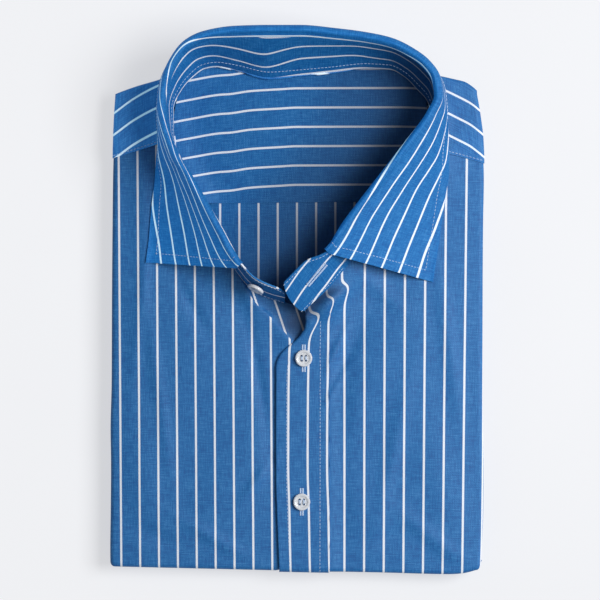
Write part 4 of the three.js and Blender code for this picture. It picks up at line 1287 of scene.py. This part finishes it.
def buildStitches(threadMaterial):
    tree, inputs = stitchTree("stitchRun")
    for kind, size in stitchKinds.items():
        points, edges = [], []
        for path, pathKind in stitchPaths:
            if pathKind != kind or len(path) < 2:
                continue
            edges.extend((len(points) + i, len(points) + i + 1) for i in range(len(path) - 1))
            points.extend(path)
        piece = linkObject(kind + "Run", meshOf(kind + "Run", points, edges=edges))
        run = piece.modifiers.new("stitches", "NODES")
        run.node_group = tree
        for label in ("Pitch", "Length", "Radius"):
            run[inputs[label]] = size[label.lower()] * mm
        run[inputs["Across"]] = size["across"]
        run[inputs["Thread"]] = threadMaterial
        plainMesh(piece)
        pieces[kind + "Run"] = piece


# Materials
def newMaterial(name):
    material = bpy.data.materials.new(name)
    material.use_nodes = True
    return material, material.node_tree, material.node_tree.nodes["Principled BSDF"]


def blendColours(tree, factor, first, second):
    return addNode(tree, "ShaderNodeMix", {"data_type": "RGBA"}, {0: factor, 6: first, 7: second}, output=2)


# noise over a place, which may be stretched first
def addNoise(tree, place, scale, detail=2, stretch=None, **more):
    if stretch:
        place = addNode(tree, "ShaderNodeMapping", values={"Vector": place, "Scale": stretch})
    values = {"Vector": place, "Scale": scale, "Detail": detail, **more}
    return addNode(tree, "ShaderNodeTexNoise", values=values)


# a map of the piece, with its first and second direction
def mapPlace(tree, name):
    place = addNode(tree, "ShaderNodeUVMap", {"uv_map": name})
    first = addNode(tree, "ShaderNodeSeparateXYZ", values={0: place})
    return place, first, first.output(1)


clothLook = {
    "blue": (0.006, 0.136, 0.392, 1),
    "deepBlue": (0.002, 0.082, 0.295, 1),
    "paleBlue": (0.045, 0.215, 0.500, 1),
    "inShade": (0.0, 0.014, 0.06, 1),
    "stripe": (0.84, 0.87, 0.92, 1),
    "stripeShade": (0.68, 0.74, 0.84, 1),
    "halfWidth": 0.053,  # of a stripe, in pitches
    "softness": 0.014,
    "yarns": 12.4 / 0.55,  # in a pitch
    "roughness": 0.62,
    "shine": 0.5,
    "collarShine": 0.25,
    "tone": 0.42,  # between the deep blue at 0 and the pale blue at 1
    "weave": 0.14,  # how much each of these changes the tone
    "blotch": 0.35,
    "lengthways": 1.15,
    "crossways": 1.25,
    "fibre": 0.95,
}


# striped oxford: the map runs across the stripes in pitches, and along them at the same scale
def clothMaterial(name, slides=False, shine=clothLook["shine"]):
    look = clothLook
    material, tree, shader = newMaterial(name)
    place, across, along = mapPlace(tree, "stripes")
    # weave: over and under, in both directions
    warp = (across * (look["yarns"] * math.pi)).maths("SINE")
    weft = (along * (look["yarns"] * math.pi)).maths("SINE")
    weave = warp * weft
    lengthways = addNoise(tree, place, 1, stretch=(17, 1.5, 1))
    crossways = addNoise(tree, place, 1, stretch=(1.5, 17, 1))
    blotch = addNoise(tree, place, 0.9, 3)
    fibre = addNoise(tree, place, 17, 3)
    slub = (lengthways - 0.5) * look["lengthways"] + (crossways - 0.5) * look["crossways"]
    slub = slub + (fibre - 0.5) * look["fibre"]
    tone = slub + weave * look["weave"] + (blotch - 0.5) * look["blotch"] + look["tone"]
    tone = tone.maths("MINIMUM", 1.0).maths("MAXIMUM", 0.0)
    ramp = tree.nodes.new("ShaderNodeValToRGB")
    stops = ramp.color_ramp.elements
    stops[0].position, stops[0].color = 0.0, look["deepBlue"]
    stops[1].position, stops[1].color = 1.0, look["paleBlue"]
    middle = stops.new(0.45)
    middle.color = look["blue"]
    tree.links.new(tone.socket, ramp.inputs[0])
    ground = Wire(tree, ramp.outputs[0])
    # stripes at whole numbers across, their edges stepping with the yarns
    wobble = (fibre - 0.5) * 0.012 + weave * 0.003
    stripeAt = across
    if slides:
        # past the tuck's edge the cloth comes out from under itself, so its stripes jump
        _, side, amount = mapPlace(tree, "slid")
        stripeAt = across - side.maths("GREATER_THAN", 0.0) * amount
    nearest = (stripeAt + 0.5 + wobble).maths("FRACT")
    away = (nearest - 0.5).maths("ABSOLUTE")
    mask = addNode(tree, "ShaderNodeMapRange", {"interpolation_type": "SMOOTHSTEP"}, {
        "Value": away, "From Min": look["halfWidth"] - look["softness"],
        "From Max": look["halfWidth"] + look["softness"], "To Min": 1.0, "To Max": 0.0})
    worn = ((crossways - 0.5) * 1.6 + 0.45).maths("MAXIMUM", 0.0).maths("MINIMUM", 1.0)
    colour = blendColours(tree, mask, ground, blendColours(tree, worn, look["stripe"], look["stripeShade"]))
    _, shade, _ = mapPlace(tree, "shade")
    relief = weave * 0.5 + slub * 1.2 + mask * 0.35
    setInputs(shader, {
        "Base Color": blendColours(tree, shade, colour, look["inShade"]),
        "Roughness": (fibre - 0.5) * 0.12 + look["roughness"],
        "Specular IOR Level": shine,
        "Normal": addNode(tree, "ShaderNodeBump", values={
            "Strength": 0.35, "Distance": 0.00022, "Height": relief}),
    })
    return material


def buttonMaterial():
    material, tree, shader = newMaterial("clearResin")
    place = addNode(tree, "ShaderNodeTexCoord", output=3)
    swirl = addNoise(tree, place, 260, Distortion=1.2)
    setInputs(shader, {
        "Base Color": blendColours(tree, swirl, (0.80, 0.84, 0.90, 1), (0.97, 0.98, 1.0, 1)),
        "Roughness": (swirl - 0.5) * 0.1 + 0.16,
        "Transmission Weight": 0.3,
        "IOR": 1.5,
        "Coat Weight": 0.6,
        "Coat Roughness": 0.08,
    })
    return material


def threadMaterial():
    material, tree, shader = newMaterial("sewingThread")
    place = addNode(tree, "ShaderNodeTexCoord", output=3)
    twist = addNoise(tree, place, 2400, 1)
    setInputs(shader, {
        "Base Color": blendColours(tree, twist, (0.42, 0.58, 0.82, 1), (0.66, 0.76, 0.90, 1)),
        "Roughness": 0.7,
        "Normal": addNode(tree, "ShaderNodeBump", values={
            "Strength": 0.4, "Distance": 0.0001, "Height": twist}),
    })
    return material


thread = threadMaterial()
addButtonholes()
buildStitches(thread)
print("stitches ready")

cloth = clothMaterial("stripedOxford")
tuckedCloth = clothMaterial("stripedOxfordTucked", slides=True)
collarCloth = clothMaterial("stripedOxfordCollar", shine=clothLook["collarShine"])
resin = buttonMaterial()
clothNodes = {
    "foldedLayers": "hidden_layers",
    "backCloth": "back",
    "yokeOuterCloth": "yoke_outer",
    "yokeInsideCloth": "yoke_inside",
    "frontLeftCloth": "front_left",
    "frontRightCloth": "front_right",
    "placketStrip": "placket",
    "bandCloth": "collar_band",
    "fallCloth": "collar_fall",
}
clothOf = {"frontLeftCloth": tuckedCloth}
clothOf.update(dict.fromkeys(("bandCloth", "fallCloth", "backCloth", "yokeInsideCloth"), collarCloth))
buttonNodes = {"frontButton1": "button_1", "frontButton2": "button_2", "collarStud": "collar_button"}

# what shows of each cut piece, flat: width, length and area in square metres
cuts = {
    "backCloth": (0.232, 0.233, None),
    "yokeOuterCloth": (0.237, 0.092, 0.021),
    "yokeInsideCloth": (0.164, 0.088, 0.0136),
    "frontLeftCloth": (0.142, 0.275, 0.030),
    "frontRightCloth": (0.136, 0.275, 0.030),
    "placketStrip": (0.037, 0.176, 0.0057),
    "bandCloth": (0.50, 0.040, 0.0147),
    "fallCloth": (0.58, 0.085, 0.023),
}


def dress(piece, material):
    piece.data.materials.clear()
    piece.data.materials.append(material)


for name, piece in pieces.items():
    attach(piece, "root")
    if name in clothNodes:
        dress(piece, clothOf.get(name, cloth))
        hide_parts(clothNodes[name])
    elif name in buttonNodes:
        dress(piece, resin)
        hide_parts(buttonNodes[name])
    else:
        dress(piece, thread)

for name, (width, length, area) in cuts.items():
    piece = pieces[name]

# Floor, light and camera
studio = {
    "cameraHeight": 1.6,  # above the cloth
    "fieldWidth": 0.384,
    "centre": (0.0018, 0.002),
    "keyPower": 20,
    "keySize": 0.75,
    "keyPlace": (0.86, 0.14, 1.06),
    "fillPower": 12,
    "fillColour": (0.3, 0.8, 1.0),
    "fillSize": 0.8,
    "fillPlace": (-1.15, 0.22, 1.05),
    "aim": (0, 0, 0.02),
    "worldStrength": 0.24,
    "floorGlow": 0.59,
    "floorHalf": 3000,
}


def floorMaterial():
    material, tree, shader = newMaterial("paleFloor")
    place = addNode(tree, "ShaderNodeTexCoord", output=3)
    grain = addNoise(tree, place, 8)
    # a little less glow on the key's side, to keep the sweep even
    side = addNode(tree, "ShaderNodeSeparateXYZ", values={0: place})
    even = addNode(tree, "ShaderNodeMapRange", values={
        "Value": side, "From Min": -0.2, "From Max": 0.2, "To Min": 0.0, "To Max": 1.0})
    setInputs(shader, {
        "Base Color": blendColours(tree, grain, (0.31, 0.315, 0.325, 1), (0.33, 0.335, 0.345, 1)),
        "Emission Color": blendColours(tree, even, (1.03, 1.035, 1.06, 1), (0.875, 0.88, 0.905, 1)),
        "Emission Strength": studio["floorGlow"],
        "Roughness": 0.9,
    })
    return material


def buildFloor():
    half = studio["floorHalf"]
    corners = [(-half, -half, 0), (half, -half, 0), (half, half, 0), (-half, half, 0)]
    floor = linkObject("floor", meshOf("floor", corners, faces=[(0, 1, 2, 3)]))
    dress(floor, floorMaterial())


def lamp(name, size, power, place):
    light = bpy.data.lights.new(name, "AREA")
    light.shape = "SQUARE"
    light.size = size
    light.energy = power
    holder = linkObject(name, light)
    holder.location = place
    holder.rotation_euler = (Vector(studio["aim"]) - Vector(place)).to_track_quat("-Z", "Y").to_euler()
    return holder


def buildLight():
    bpy.context.scene.view_settings.view_transform = "Standard"
    world = bpy.data.worlds.new("studioAir")
    bpy.context.scene.world = world
    world.use_nodes = True
    setInputs(world.node_tree.nodes["Background"], {
        "Color": (0.95, 0.97, 1.0, 1), "Strength": studio["worldStrength"]})
    lamp("keyLight", studio["keySize"], studio["keyPower"], studio["keyPlace"])
    # the fill reaches only the fall and the outer yoke
    fill = lamp("fillLight", studio["fillSize"], studio["fillPower"], studio["fillPlace"])
    fill.data.color = studio["fillColour"]
    lit = bpy.data.collections.new("fillLit")
    for name in ("fallCloth", "yokeOuterCloth"):
        lit.objects.link(pieces[name])
    fill.light_linking.receiver_collection = lit


def buildCamera():
    camera = bpy.data.cameras.new("camera")
    camera.sensor_width = 36
    camera.lens = camera.sensor_width * studio["cameraHeight"] / studio["fieldWidth"]
    camera.clip_end = 20
    holder = linkObject("camera", camera)
    holder.location = (*studio["centre"], studio["cameraHeight"] + 0.02)
    bpy.context.scene.camera = holder


buildFloor()
buildLight()
buildCamera()
print("studio ready")
